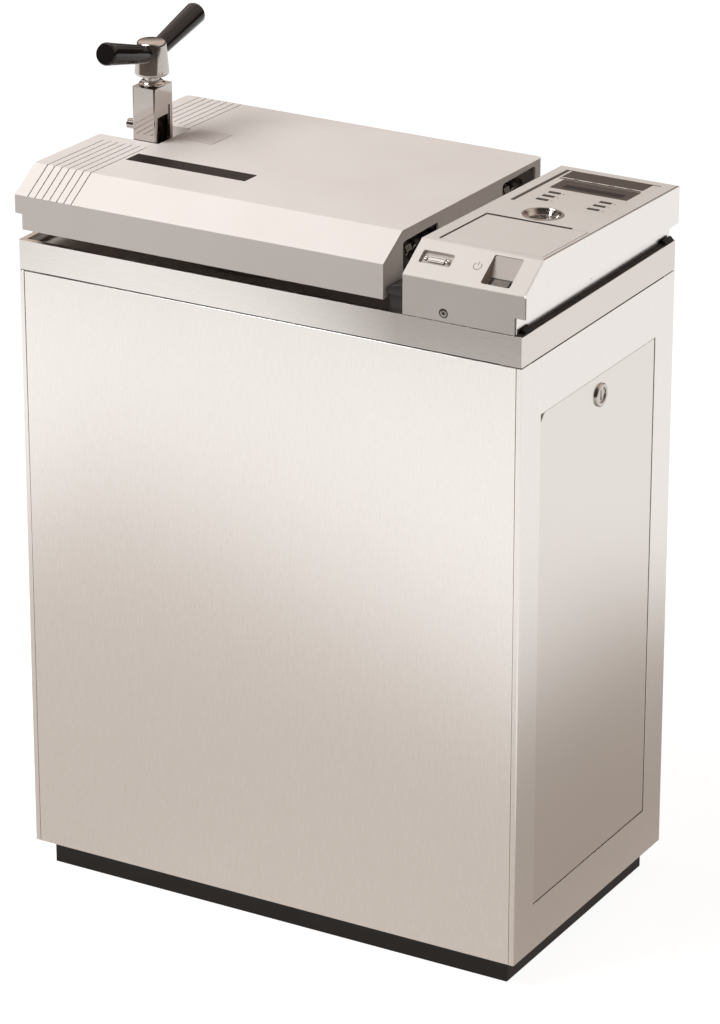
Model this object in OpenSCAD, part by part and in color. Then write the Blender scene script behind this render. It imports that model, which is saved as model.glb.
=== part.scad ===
// Vertical autoclave: a casing with a deep round chamber, a hinged lid with a screw
// clamp, and a control hood beside the lid.
// The origin is on the floor below the middle of the casing; +X is to the
// right, +Y to the rear, +Z up, and the front faces -Y.

/* [Casing] */
// Width of the casing, left to right
case_w = 800; // [790:1:860]
// Depth of the casing, front to rear
case_d = 458; // [450:1:520]
// Height of the casing panels
case_h = 892; // [840:1:960]
// Thickness of the casing sheet
sheet_t = 2; // [1.5:0.1:2.5]
// Width of the fold of a side panel round a front or rear corner
fold_w = 8; // [6:0.5:14]
// Seam between neighbouring panels
seam = 0.6; // [0.3:0.1:0.9]
// Height of the plinth
plinth_h = 40; // [25:1:80]
// Setback of the plinth behind the casing
plinth_inset = 20.7; // [10:0.1:30]
// Width of the plinth's rails
plinth_rail = 30; // [20:1:40]
// Thickness of the floor pan
pan_t = 3; // [2:0.5:5]
// Leg of the corner angles
angle_leg = 30; // [20:1:40]
// Thickness of the corner angles
angle_t = 3; // [2:0.5:4]

/* [Collar and deck] */
// Height of the collar with its seal
collar_h = 45; // [40:1:60]
// Thickness of the seal below the collar
seal_t = 2; // [1:0.5:3]
// Setback of the seal
seal_inset = 3; // [1:0.5:5]
// Width of the collar's rim
rim_w = 9; // [7:0.5:12]
// Width of the ledge that carries the deck
ledge_w = 20; // [14:1:26]
// Depth of the deck below the collar's rim
deck_drop = 15; // [13:0.5:18]
// Thickness of the deck
deck_t = 3; // [2:0.5:4]

/* [Service door] */
// Width of the service door
door_w = 342; // [300:1:360]
// Height of the service door
door_h = 736; // [680:1:760]
// Rise of the door's lower edge
door_rise = 72.4; // [60:0.1:90]
// Gap round the door
door_gap = 1.2; // [1:0.1:2]
// Setback of the door's face
door_inset = 1; // [0.5:0.1:1.5]
// Overlap of the stop lip behind the door
lip_w = 10; // [6:1:14]
// Depth of the stop lip
lip_t = 4; // [3:0.5:6]
// Radius of the lock's collar
lock_r = 17; // [14:0.5:19]
// Radius of the lock's barrel
barrel_r = 11; // [9:0.5:12]
// Drop of the lock below the door's upper edge
lock_drop = 30; // [28:0.5:40]
// Place of the lock behind the casing's middle
lock_y = 6; // [-20:1:20]
// Stand of the lock's collar
lock_proud = 3.6; // [2:0.1:4]
// Length of the lock's cam
cam_l = 44; // [40:1:50]

/* [Chamber] */
// Inner radius of the chamber
chamber_r = 160; // [150:1:162]
// Inner depth of the chamber's straight wall
chamber_l = 700; // [600:1:740]
// Depth of the domed bottom
dome_h = 50; // [35:1:60]
// Wall of the vessel
vessel_t = 4; // [3:0.5:5]
// Place of the chamber's axis to the left of the lid's right face
chamber_in = 273; // [268:1:283]
// Width of the vessel's flange outside the vessel
flange_w = 21; // [16:1:24]
// Thickness of the vessel's flange
flange_t = 11; // [9:0.5:12]
// Thickness of the insulation
jacket_t = 21; // [14:1:24]
// Place of the heater ring's tube inside the chamber's wall
heater_in = 50; // [40:1:70]
// Radius of the heater's tube
heater_tube_r = 4.25; // [3:0.25:5]
// Height of the heater ring above the dome's rim
heater_rise = 8; // [6:1:14]
// Height of the sieve plate above the dome's rim
sieve_rise = 30; // [26:1:50]
// Thickness of the sieve plate
sieve_t = 2; // [1.5:0.5:3]
// Radius of the sieve plate's holes
sieve_hole_r = 6; // [4:0.5:8]
// Radius of the temperature probe
probe_r = 4; // [3:0.5:5]
// Radius of the drain pipe
drain_r = 11; // [9:0.5:12]
// Wall of the pipes
pipe_t = 1.5; // [1:0.25:2]

/* [Lid] */
// Overhang of the lid and the hood at the sides
overhang = 3.8; // [2:0.1:6]
// Gap between the lid and the hood
side_gap = 30; // [28:0.5:32]
// Gap between the collar and the lid
lid_gap = 16; // [14:0.5:20]
// Height of the lid's front edge above the collar
lid_front_h = 66; // [60:0.5:72]
// Height of the lid's crest above the collar
lid_crest_h = 98; // [94:0.5:99]
// Height of the lid's rear edge above the collar
lid_rear_h = 87.4; // [86:0.2:92]
// Depth of the lid's front slope
lid_slope_d = 52.7; // [45:0.1:60]
// Wall of the lid cover
cover_t = 3; // [2.5:0.1:3.5]
// Height of the step under the lid's left edge, above the collar
lid_step_h = 39; // [34:0.5:44]
// Setback of that step
lid_step_d = 11.3; // [8:0.1:14]
// Radius of the lid's rear corners
lid_corner_r = 9; // [5:0.5:14]
// Width of a decorative groove
groove_w = 1.6; // [1:0.1:2]
// Depth of a decorative groove
groove_d = 0.8; // [0.5:0.1:1.2]
// Number of decorative grooves
groove_n = 7; // [4:1:8]
// Place of the first groove from the lid's left face
groove_x = 20.8; // [16:0.2:26]
// Pitch of the grooves
groove_pitch = 12; // [10:0.1:13]
// Thickness of the bare name strip and label
plate_t = 0.6; // [0.4:0.1:1]

/* [Lid hinge] */
// Place of the hinge axis to the left of the lid's right face
hinge_in = 27; // [26:0.5:28]
// Height of the hinge axis above the collar
hinge_rise = 52; // [51:0.5:53]
// Radius of the hinge shaft
shaft_r = 7; // [6:0.5:8]
// Radius of the hinge knuckles
knuckle_r = 12; // [12:0.5:13]
// Thickness of the hinge straps
strap_t = 4.6; // [4:0.2:4.8]
// Width of the hinge straps
strap_w = 60; // [50:1:64]
// Slope of the hinge straps below level
strap_angle = 29; // [28:0.5:30]
// Reach of the hinge straps to the right of the axis
strap_reach = 45; // [44:0.5:47]
// Lower edge of the windows in the lid's right wall, above the collar
window_low = 31; // [30:0.5:32]
// Upper edge of those windows, above the collar
window_high = 81; // [80:0.5:82]
// Length of those windows
window_l = 98; // [90:1:102]
// Middle of the front window
hinge_front_y = -125.5; // [-128:0.5:-120]
// Middle of the rear window
hinge_rear_y = 157.5; // [150:0.5:160]
// Wire of the torsion springs
wire_d = 3; // [2.6:0.1:3.2]
// Mean radius of the torsion springs
coil_r = 10.3; // [10:0.1:10.4]
// Turns of each torsion spring
coil_turns = 4; // [2:1:4]
// Pitch of the torsion springs
coil_pitch = 4; // [3.9:0.1:4.4]

/* [Pressure lid] */
// Overlap of the pressure lid outside the vessel
press_over = 12; // [10:1:16]
// Thickness of the pressure lid
press_t = 12; // [10:1:14]
// Rise of the pressure lid's dome
press_dome = 20; // [14:1:24]
// Thickness of the gasket
gasket_t = 2; // [1.5:0.5:3]
// Width of the gasket
gasket_w = 10; // [8:1:12]
// Width of the lid's crossbar
bar_w = 44; // [36:1:46]
// Thickness of the lid's crossbar
bar_t = 16; // [12:1:18]
// Radius of the bolt that carries the pressure lid
bolt_r = 8; // [6:0.5:10]

/* [Clamp] */
// Place of the clamp's axis from the casing's left side
clamp_in = 70; // [66:1:74]
// Place of the clamp's and chamber's axis, front to rear
clamp_y = 17; // [14:1:20]
// Width of the clamp post, left to right
post_w = 39; // [36:0.5:42]
// Depth of the clamp post, front to rear
post_d = 48; // [44:0.5:50]
// Height of the clamp post's top above the collar
post_h = 172; // [165:0.5:180]
// Wall of the clamp post
post_t = 3; // [2.5:0.1:3.5]
// Radius of the clamp post's edges
post_edge_r = 3; // [2:0.5:4]
// Radius of the clamp's spindle
spindle_r = 8; // [7:0.5:8.5]
// Radius of the spindle's neck
neck_r = 11; // [10:0.5:13]
// Length of the visible neck
neck_l = 9; // [6:0.5:14]
// Height of the bearing ring
ring_h = 6; // [4:0.5:8]
// Radius of the bearing ring
ring_r = 19; // [17:0.5:19.4]
// Radius of the hub's lower rim
hub_low_r = 25; // [23:0.5:28]
// Radius of the hub's top
hub_top_r = 21; // [18:0.2:22]
// Height of the hub
hub_h = 50; // [44:0.5:56]
// Reach of a handle arm from the hub's axis
arm_l = 125; // [100:1:150]
// Rise of the handle arms
arm_angle = 15; // [9:1:17]
// Radius of an arm at the hub
arm_root_r = 13; // [10:0.5:14]
// Radius of an arm at its end
arm_end_r = 16.4; // [14:0.2:18]
// Length of the spindle's cross head
head_l = 36; // [32:1:38]
// Width of the spindle's cross head
head_w = 12; // [10:1:13]
// Height of the spindle's cross head
head_h = 7; // [6:0.5:8]
// Radius of the latch button
button_r = 7.5; // [7:0.5:9]
// How far the latch button stands out
button_proud = 14; // [9:0.5:15]
// Travel of the latch button
button_travel = 3; // [2:0.5:3.5]
// Height of the latch button above the collar
button_h = 112; // [108:1:118]

/* [Control hood] */
// Left face of the hood, from the casing's right side
hood_in = 182; // [180:0.5:183]
// Gap between the collar and the hood
hood_gap = 1; // [0.5:0.1:2]
// Height of the hood's front edge above the collar
hood_front_h = 58.2; // [56:0.2:64]
// Height of the hood's crest above the collar
hood_crest_h = 93.2; // [91:0.2:96]
// Height of the hood's rear edge above the collar
hood_rear_h = 79.7; // [78:0.2:84]
// Depth of the hood's front slope
hood_slope_d = 53.6; // [52:0.2:58]
// Wall of the hood
hood_t = 3; // [2.5:0.1:3.5]
// Height of the step under the hood's right edge, above the collar
hood_step_h = 25.5; // [23:0.5:28]
// Setback of that step
hood_step_d = 13.8; // [12:0.2:16]
// Thickness of the hood's steel side panel
side_t = 2; // [1.5:0.1:2.5]
// Radius of the screw bosses inside the hood
boss_r = 6; // [5:0.5:7]

/* [Flap] */
// Width of the flap
flap_w = 155; // [140:1:156]
// Depth of the flap
flap_d = 131; // [110:1:132]
// Thickness of the flap
flap_t = 2.6; // [2.2:0.1:2.8]
// Gap round the flap
flap_gap = 1; // [0.7:0.1:1.2]
// Place of the flap behind the hood's crest
flap_back = 10; // [8:0.5:16]
// Strip of the hood to the right of the flap
flap_margin = 5; // [4:0.5:7]
// Radius of the flap's pins
flap_pin_r = 1.1; // [0.9:0.1:1.2]
// Length of the flap's pins
flap_pin_l = 3; // [2:0.5:4]

/* [Gauge] */
// Radius of the gauge's rim
gauge_r = 29; // [26:0.5:30]
// Radius of the gauge's case
gauge_case_r = 27; // [24:0.5:28]
// Depth of the gauge's case
gauge_case_l = 28; // [20:1:34]
// Place of the gauge's axis from the hood's left face
gauge_x = 87.4; // [80:0.2:95]
// Place of the gauge's axis behind the hood's crest
gauge_back = 180; // [176:0.5:184]
// Height of the gauge's rim above the hood
gauge_rim_h = 1.6; // [1:0.2:2.5]
// Depth of the dial below the hood's top
dial_depth = 7; // [6:0.5:10]
// Length of the needle
needle_l = 18; // [14:0.5:20]

/* [Control panel] */
// Left edge of the panel foil from the hood's left face
foil_x = 16; // [12:0.5:20]
// Width of the panel foil
foil_w = 149; // [140:1:150]
// Front edge of the panel foil behind the hood's crest
foil_back = 219; // [215:1:222]
// Depth of the panel foil
foil_d = 171; // [165:1:174]
// Thickness of the panel foil
foil_t = 0.8; // [0.5:0.1:1.2]
// Left edge of the display's frame from the hood's left face
display_x = 35; // [30:0.5:38]
// Width of the display's frame
display_w = 120.5; // [110:0.5:124]
// Front edge of the display's frame behind the hood's crest
display_back = 300; // [299:0.5:306]
// Depth of the display's frame
display_d = 46.5; // [40:0.5:48]
// Setback of the display below the hood's top
display_drop = 1; // [0.5:0.1:1.5]
// Length of a key
key_l = 17.5; // [14:0.5:18]
// Width of a key
key_w = 6; // [4:0.5:7]
// Height of a key above the foil
key_proud = 0.8; // [0.5:0.1:1.2]
// Travel of a key
key_travel = 0.8; // [0.5:0.1:1]
// Gap round a key
key_gap = 0.4; // [0.3:0.1:0.6]
// Middle of the left keys from the hood's left face
key_left_x = 54; // [50:0.5:58]
// Middle of the right keys from the hood's left face
key_right_x = 135; // [130:0.5:140]
// Middle of the first left key behind the hood's crest
key_left_back = 243; // [241:0.5:245]
// Middle of the first right key behind the hood's crest
key_right_back = 239; // [237:0.5:241]
// Pitch of the keys
key_pitch = 18.5; // [16:0.5:19.5]

/* [Switch and socket] */
// Left edge of the switch recess from the hood's left face
recess_x = 114; // [108:0.5:118]
// Width of the switch recess
recess_w = 44; // [40:0.5:48]
// Lower end of the switch recess up the slope
recess_low = 8.4; // [7:0.2:10]
// Length of the switch recess up the slope
recess_l = 50; // [46:0.5:52]
// Depth of the switch recess at its lower end
recess_depth = 14; // [12:0.5:16]
// Radius of the rocker
rocker_r = 7; // [6:0.2:7.2]
// Width of the rocker
rocker_w = 24; // [20:0.5:26]
// Throw of the rocker, in degrees
rocker_throw = 24; // [16:1:30]
// Left edge of the socket pocket from the hood's left face
pocket_x = 12; // [10:0.5:16]
// Width of the socket pocket
pocket_w = 48; // [44:0.5:54]
// Lower end of the socket pocket up the slope
pocket_low = 24; // [20:0.5:28]
// Length of the socket pocket up the slope
pocket_l = 21.5; // [18:0.5:24]
// Depth of the socket pocket
pocket_depth = 5; // [4:0.5:7]
// Spacing of the jackscrews
jack_pitch = 33.3; // [33:0.1:34]
// Radius of a jackscrew
jack_r = 2.6; // [2:0.1:3]
// Radius of the front screw's head
screw_r = 5; // [4:0.5:6]
// Radius of the front screw's washer
washer_r = 6.8; // [6:0.2:8]
// Place of the front screw from the hood's left face
screw_x = 62.7; // [58:0.5:70]
// Height of the front screw above the collar
screw_h = 12.9; // [11:0.1:15]
// Height of the side screw above the collar
side_screw_h = 18; // [12:0.5:19]
// Radius of the side screw's head
side_screw_r = 3.4; // [2.5:0.1:4]

/* [Gap and trough] */
// Width of the block in the gap
block_w = 25; // [20:0.5:25.5]
// Length of the block in the gap
block_l = 46; // [30:1:48]
// Height of the block's left edge above the collar
block_left_h = 34; // [30:0.5:34.5]
// Height of the block's right edge above the collar
block_right_h = 41; // [36:0.5:41.5]
// Length of a trough clip
clip_l = 24; // [16:1:30]
// Width of a trough clip
clip_w = 7; // [5:0.5:8]
// Height of a trough clip above the collar
clip_h = 6; // [4:0.5:8]

/* [Inside] */
// Bore of the drain port in the rear panel
port_r = 9; // [8:0.1:9.4]
// Length of the drain port
port_l = 24; // [16:1:30]
// Wall of the ports
port_t = 3; // [2:0.5:4]
// Height of the ports above the casing's lower edge
port_rise = 80; // [60:1:120]
// Place of the drain port from the casing's right side
port_in = 150; // [130:1:180]
// Bore of the cable inlet in the rear panel
inlet_r = 7; // [6:0.5:9]
// Place of the cable inlet from the casing's right side
inlet_in = 80; // [50:1:100]
// Width of the mounting plate, front to rear
board_w = 300; // [240:1:340]
// Height of the mounting plate
board_h = 480; // [400:1:560]
// Thickness of the mounting plate
board_t = 2.5; // [2:0.5:3]
// Place of the mounting plate from the casing's right side
board_in = 120; // [100:1:160]
// Length of a power relay
relay_w = 60; // [50:1:70]
// Height of a power relay
relay_h = 80; // [60:1:90]
// Depth of a power relay
relay_d = 45; // [40:1:60]
// Number of power relays
relay_n = 3; // [1:1:4]
// Height of the safety valve's pipe below the collar
valve_drop = 110; // [90:1:140]
// Radius of the safety valve's body
valve_r = 14; // [12:0.5:16]
// Height of the safety valve
valve_h = 70; // [50:1:80]

/* [Hidden] */
$fn = 64;
over = 1;
fit = 0.05;
seat = 0.3;
wide_fn = 96;
case_y0 = -case_d / 2;
case_y1 = case_d / 2;
case_x1 = case_w / 2;
hood_left = case_x1 - hood_in;
lid_right = hood_left - side_gap;
hinge_x = lid_right - hinge_in;
chamber_x = lid_right - chamber_in;
clamp_x = clamp_in - case_x1;
port_x = case_x1 - port_in;
inlet_x = case_x1 - inlet_in;
board_x = case_x1 - board_in;
z_case = plinth_h;
z_seal = z_case + case_h;
z_collar = z_seal + seal_t;
z_top = z_seal + collar_h;
z_deck = z_top - deck_drop;
pan_x = case_w - 2 * sheet_t - seam;
pan_y = case_d - 2 * sheet_t - seam;
deck_x = case_w - 2 * rim_w - seam;
deck_y = case_d - 2 * rim_w - seam;
vessel_r = chamber_r + vessel_t;
flange_r = vessel_r + flange_w;
jacket_r = vessel_r + jacket_t;
press_r = vessel_r + press_over;
heater_r = chamber_r - heater_in;
z_flange = z_deck + flange_t;
z_dome = z_flange - chamber_l;
door_z0 = z_case + door_rise;
door_z1 = door_z0 + door_h;
door_x1 = case_x1 - door_inset;
door_x0 = door_x1 - sheet_t;
lip_x1 = door_x0 - seat;
lock_z = door_z1 - lock_drop;
cam_x = lip_x1 - lip_t - 2 * sheet_t - 4 * seat;
cam_w = barrel_r;
hinge_z = z_top + hinge_rise;
lid_left = -case_x1 - overhang;
lid_step_x = lid_left + lid_step_d;
bar_z = hinge_z - bar_t / 2;
z_gasket = z_flange + seat;
z_press = z_gasket + gasket_t;
bar_left = clamp_x - post_w / 2;
hood_right = case_x1 + overhang;
hood_shell_right = hood_right - side_t;
hood_step_x = hood_right - hood_step_d;
hood_fall = atan((hood_crest_h - hood_rear_h) / (case_d - hood_slope_d));
hood_rise = atan((hood_crest_h - hood_front_h) / hood_slope_d);
hood_top_l = (case_d - hood_slope_d) / cos(hood_fall);
flap_right = hood_shell_right - hood_left - flap_margin - flap_gap;
flap_axis_x = flap_right - flap_t / 2;
post_x0 = clamp_x - post_w / 2;
post_y0 = clamp_y - post_d / 2;
notch_clear = 2;
notch_right = clamp_x + post_w / 2 + 2.5 * notch_clear;
notch_front = post_y0 - notch_clear;
notch_rear = post_y0 + post_d + 20 * notch_clear;
z_post = z_top + post_h;
z_ring = z_post + ring_h;
z_hub = z_ring + neck_l;
z_arm = z_hub + hub_h * 0.57;
z_head = z_deck + head_h;
keeper_t = 4;
block_gap = 1;
rocker_off = 1;
rocker_lip = 1;
rocker_case = 2;
needle_zero = 135;
keeper_in = head_l / 2 + keeper_t;
keeper_z1 = z_head + head_h + 2 * keeper_t;
window_floor = z_top + window_low;
window_ceil = z_top + window_high;
arm_front_y = hinge_front_y + window_l / 2;
arm_rear_y = hinge_rear_y - window_l / 2;
yoke_w = 16;
rocker_low = recess_low + 1.6 * rocker_r;
rocker_x = recess_x + recess_w / 2 + rocker_off;
rocker_axis = rocker_lip - recess_depth;
angle_shares = [[-1, -1, 0], [1, -1, 90], [1, 1, 180], [-1, 1, 270]];
sieve_ring_shares = [[0, 1], [0.3, 6], [0.56, 12], [0.82, 18]];
boss_shares = [[0.065, 0.14], [0.065, 0.96], [0.87, 0.46], [0.87, 0.96]];

// A block given by two opposite corners
module block(low, high) {
    translate(low) cube([for (i = [0:2]) high[i] - low[i]]);
}

// A shape drawn in depth and height, drawn out from left to right
module side_profile(x0, x1) {
    translate([x0, 0, 0]) rotate([90, 0, 90]) linear_extrude(x1 - x0) children();
}

// A shape drawn in width and height, drawn out from front to rear
module front_profile(y0, y1) {
    translate([0, y1, 0]) rotate([90, 0, 0]) linear_extrude(y1 - y0) children();
}

// A tube standing on its lower end
module tube(r_out, r_in, l) {
    difference() {
        cylinder(r = r_out, h = l);
        translate([0, 0, -over]) cylinder(r = r_in, h = l + 2 * over);
    }
}

// The frame of the hood's top: x from its left face, y back from its crest, z out of it
module on_hood_top() {
    translate([hood_left, case_y0 + hood_slope_d, z_top + hood_crest_h])
        rotate([-hood_fall, 0, 0]) children();
}

// The frame of the hood's front slope: x from its left face, y up the slope, z out of it
module on_hood_slope() {
    translate([hood_left, case_y0, z_top + hood_front_h]) rotate([hood_rise, 0, 0]) children();
}

// The frame of the lid's top: x along the casing, y back from its crest, z out of it
module on_lid_top() {
    lid_fall = atan((lid_crest_h - lid_rear_h) / (case_d - lid_slope_d));
    translate([0, case_y0 + lid_slope_d, z_top + lid_crest_h]) rotate([-lid_fall, 0, 0]) children();
}

// Black rails that carry the casing
module plinth() {
    x = case_x1 - plinth_inset;
    y = case_y1 - plinth_inset;
    color("#1c1a19") difference() {
        block([-x, -y, 0], [x, y, plinth_h]);
        block([plinth_rail - x, plinth_rail - y, -over], [x - plinth_rail, y - plinth_rail, plinth_h + over]);
    }
}

// Floor of the casing, on the plinth
module floor_pan() {
    color("#b9b6b1") block([-pan_x / 2, -pan_y / 2, z_case], [pan_x / 2, pan_y / 2, z_case + pan_t]);
}

// Front sheet between the folds of the side panels
module front_panel() {
    x = case_x1 - fold_w - seam;
    color("#d9d3cd") block([-x, case_y0, z_case], [x, case_y0 + sheet_t, z_seal]);
}

// Side sheet with a fold round its front and rear edge, drawn on the right
module side_sheet() {
    block([case_x1 - sheet_t, case_y0, z_case], [case_x1, case_y1, z_seal]);
    for (y = [case_y0, case_y1 - sheet_t])
        block([case_x1 - fold_w, y, z_case], [case_x1, y + sheet_t, z_seal]);
}

module left_side_panel() {
    color("#d2ccc6") mirror([1, 0, 0]) side_sheet();
}

// Right side sheet with the door opening and the lip that stops the door
module right_side_panel() {
    y = door_w / 2 + door_gap;
    y_lip = door_w / 2 - lip_w;
    y_band = y + lip_t;
    color("#d2ccc6") difference() {
        union() {
            side_sheet();
            block([lip_x1 - lip_t, -y_band, door_z0 - door_gap - lip_t],
                [case_x1 - sheet_t, y_band, door_z1 + door_gap + lip_t]);
        }
        block([lip_x1, -y, door_z0 - door_gap], [case_x1 + over, y, door_z1 + door_gap]);
        block([lip_x1 - lip_t - over, -y_lip, door_z0 + lip_w], [case_x1 + over, y_lip, door_z1 - lip_w]);
    }
}

// Rear sheet with the holes of the two ports
module rear_panel() {
    x = case_x1 - fold_w - seam;
    z = z_case + port_rise;
    color("#c4c0bb") difference() {
        block([-x, case_y1 - sheet_t, z_case], [x, case_y1, z_seal]);
        for (p = [[port_x, port_r], [inlet_x, inlet_r]])
            translate([p[0], case_y1 + over, z]) rotate([90, 0, 0])
                cylinder(r = p[1] + port_t + fit, h = sheet_t + 2 * over);
    }
}

// Four angles that carry the collar on the floor pan
module corner_angles() {
    color("#a9a6a2") for (s = angle_shares)
        translate([s[0] * pan_x / 2, s[1] * pan_y / 2, z_case + pan_t]) rotate(s[2])
            linear_extrude(z_collar - z_case - pan_t)
                polygon([[0, 0], [angle_leg, 0], [angle_leg, angle_t], [angle_t, angle_t],
                    [angle_t, angle_leg], [0, angle_leg]]);
}

// Seal between the casing and the collar
module collar_seal() {
    x = case_x1 - seal_inset;
    y = case_y1 - seal_inset;
    color("#24211f") difference() {
        block([-x, -y, z_seal], [x, y, z_collar]);
        block([rim_w - x, rim_w - y, z_seal - over], [x - rim_w, y - rim_w, z_collar + over]);
        for (s = angle_shares)
            translate([s[0] * pan_x / 2, s[1] * pan_y / 2, z_seal - over]) rotate(s[2])
                block([-over, -over, 0], [angle_leg + seat, angle_leg + seat, seal_t + 2 * over]);
    }
}

// Collar with a narrow rim and a ledge for the deck
module top_collar() {
    x = case_x1;
    y = case_y1;
    color("#d0cac4") difference() {
        block([-x, -y, z_collar], [x, y, z_top]);
        block([rim_w - x, rim_w - y, z_deck - deck_t], [x - rim_w, y - rim_w, z_top + over]);
        block([ledge_w - x, ledge_w - y, z_collar - over], [x - ledge_w, y - ledge_w, z_top + over]);
    }
}

// Sunken deck with the opening for the vessel's neck
module deck_plate() {
    color("#8e8a86") difference() {
        block([-deck_x / 2, -deck_y / 2, z_deck - deck_t], [deck_x / 2, deck_y / 2, z_deck]);
        translate([chamber_x, clamp_y, z_deck - deck_t - over])
            cylinder(r = vessel_r + seat, h = deck_t + 2 * over, $fn = wide_fn);
    }
}

// Points of a dome's curve from the rim to the middle, below its rim
function dome_points(r, h) = [for (a = [0:15:90]) [r * cos(a), -h * sin(a)]];

// Round vessel hung from its flange, with a domed bottom and a drain neck
module pressure_vessel() {
    inner = dome_points(chamber_r, dome_h);
    outer = dome_points(vessel_r, dome_h + vessel_t);
    z_below = z_dome - 2 * dome_h;
    color("#c9c6c2") translate([chamber_x, clamp_y, 0]) difference() {
        union() {
            rotate_extrude($fn = wide_fn) translate([0, z_dome])
                polygon(concat([[chamber_r, chamber_l]], inner, [for (i = [6:-1:0]) outer[i]],
                    [[vessel_r, chamber_l]]));
            translate([0, 0, z_dome - dome_h - 6 * vessel_t]) cylinder(r = drain_r, h = 5.5 * vessel_t);
        }
        translate([0, 0, z_below]) cylinder(r = drain_r - pipe_t, h = 2 * dome_h);
        translate([chamber_r / 2, 0, z_below]) cylinder(r = probe_r + fit, h = 2 * dome_h);
        translate([0, 0, z_top - valve_drop]) rotate([0, 90, 0])
            cylinder(r = drain_r / 2, h = vessel_r + over);
    }
}

// Flange that carries the vessel on the deck
module vessel_flange() {
    color("#bdbab6") translate([chamber_x, clamp_y, z_deck]) difference() {
        cylinder(r = flange_r, h = flange_t, $fn = wide_fn);
        translate([0, 0, -over]) cylinder(r = vessel_r + fit, h = flange_t + 2 * over, $fn = wide_fn);
    }
}

// Sleeve of insulation round the vessel, with a hole for the safety valve's pipe
module insulation_jacket() {
    l = chamber_l - flange_t - deck_t - 4 * seat;
    color("#cfc7a8") translate([chamber_x, clamp_y, z_dome]) difference() {
        tube(jacket_r, vessel_r + seat, l);
        translate([0, 0, z_top - valve_drop - z_dome]) rotate([0, 90, 0])
            cylinder(r = drain_r + seat, h = jacket_r + over);
    }
}

// Round tube of the heater with two legs that stand on the dome
module heater_ring() {
    leg_l = heater_rise + dome_h * sin(acos(heater_r / chamber_r)) - 2 * seat;
    gap_angle = 24;
    color("#77736f") translate([chamber_x, clamp_y, z_dome + heater_rise]) {
        rotate(gap_angle / 2) rotate_extrude(angle = 360 - gap_angle, $fn = wide_fn)
            translate([heater_r, 0]) circle(r = heater_tube_r, $fn = 24);
        for (s = [-1, 1]) rotate(s * gap_angle) translate([heater_r - heater_tube_r / 2, 0, -leg_l])
            cylinder(r = heater_tube_r / 2, h = leg_l, $fn = 24);
    }
}

// Drilled plate that holds the load above the heater, on three feet
module sieve_plate() {
    r = chamber_r - 2 * seat;
    foot_x = chamber_r * 0.62;
    foot_h = sieve_rise + dome_h * sin(acos(foot_x / chamber_r)) - 2 * seat;
    color("#bcb8b4") translate([chamber_x, clamp_y, z_dome + sieve_rise]) difference() {
        union() {
            cylinder(r = r, h = sieve_t, $fn = wide_fn);
            for (a = [60, 180, 300]) rotate(a) translate([foot_x - 2 * sieve_t, 0, -foot_h])
                cylinder(r = sieve_t, h = foot_h + sieve_t / 2, $fn = 24);
        }
        for (ring = sieve_ring_shares, i = [0:ring[1] - 1])
            rotate(360 * (i + 0.5) / ring[1]) translate([ring[0] * r, 0, -over])
                cylinder(r = sieve_hole_r, h = sieve_t + 2 * over, $fn = 24);
        translate([chamber_r / 2, 0, -over]) cylinder(r = probe_r + 2 * seat, h = sieve_t + 2 * over);
    }
}

// Probe that stands up through the dome, with its nut below
module temperature_probe() {
    z0 = z_dome - dome_h - 4 * vessel_t;
    color("#a7a4a0") translate([chamber_x + chamber_r / 2, clamp_y, z0]) {
        cylinder(r = probe_r, h = 2 * dome_h + sieve_rise);
        cylinder(r = 2 * probe_r, h = 2 * probe_r, $fn = 6);
    }
}

// Valve under the drain neck
module drain_valve() {
    l = 5 * drain_r;
    z1 = z_dome - dome_h - 6 * vessel_t;
    color("#b08d4f") translate([chamber_x, clamp_y, z1 - l]) {
        difference() {
            cylinder(r = 1.6 * drain_r, h = l);
            translate([0, 0, drain_r]) cylinder(r = drain_r - pipe_t, h = l);
            translate([0, 0, 2 * drain_r]) rotate([0, 90, 0]) cylinder(r = drain_r - pipe_t, h = 3 * drain_r);
        }
        translate([0, 0, 2 * drain_r]) rotate([90, 0, 0]) cylinder(r = 0.8 * drain_r, h = 4 * drain_r);
    }
}

// Pipe from the drain valve to the drain port, with round elbows
module drain_pipe() {
    z0 = z_dome - dome_h - 6 * vessel_t - 3 * drain_r;
    z1 = z_case + port_rise;
    color("#c5c2be") difference() {
        union() {
            drain_run(drain_r, 0);
            for (z = [z0, z1]) translate([port_x, clamp_y, z]) sphere(r = 1.35 * drain_r);
        }
        drain_run(drain_r - pipe_t, over);
    }
}

// The straight runs of the drain pipe, of a given radius, longer by extra at their ends
module drain_run(r, extra) {
    z0 = z_dome - dome_h - 6 * vessel_t - 3 * drain_r;
    z1 = z_case + port_rise;
    x0 = chamber_x + 1.6 * drain_r + seat;
    y1 = case_y1 - port_l - seat;
    translate([x0 - extra, clamp_y, z0]) rotate([0, 90, 0]) cylinder(r = r, h = port_x - x0 + extra);
    translate([port_x, clamp_y, z1]) cylinder(r = r, h = z0 - z1);
    translate([port_x, clamp_y, z1]) rotate([-90, 0, 0]) cylinder(r = r, h = y1 - clamp_y + extra);
}

// Spring-loaded valve on a pipe from the vessel's side
module safety_valve() {
    z = z_top - valve_drop;
    x0 = chamber_x + vessel_r + seat;
    x1 = chamber_x + jacket_r + 2 * valve_r;
    color("#b3935a") translate([0, clamp_y, z]) {
        translate([x0, 0, 0]) rotate([0, 90, 0]) cylinder(r = drain_r, h = x1 - x0);
        translate([x1, 0, -valve_r]) cylinder(r = valve_r, h = valve_h - valve_r);
        translate([x1, 0, valve_h - 2 * valve_r]) cylinder(r = 0.7 * valve_r, h = valve_r);
        translate([x1, 0, valve_h - valve_r]) cylinder(r = valve_r, h = valve_r / 2);
    }
}

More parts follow.
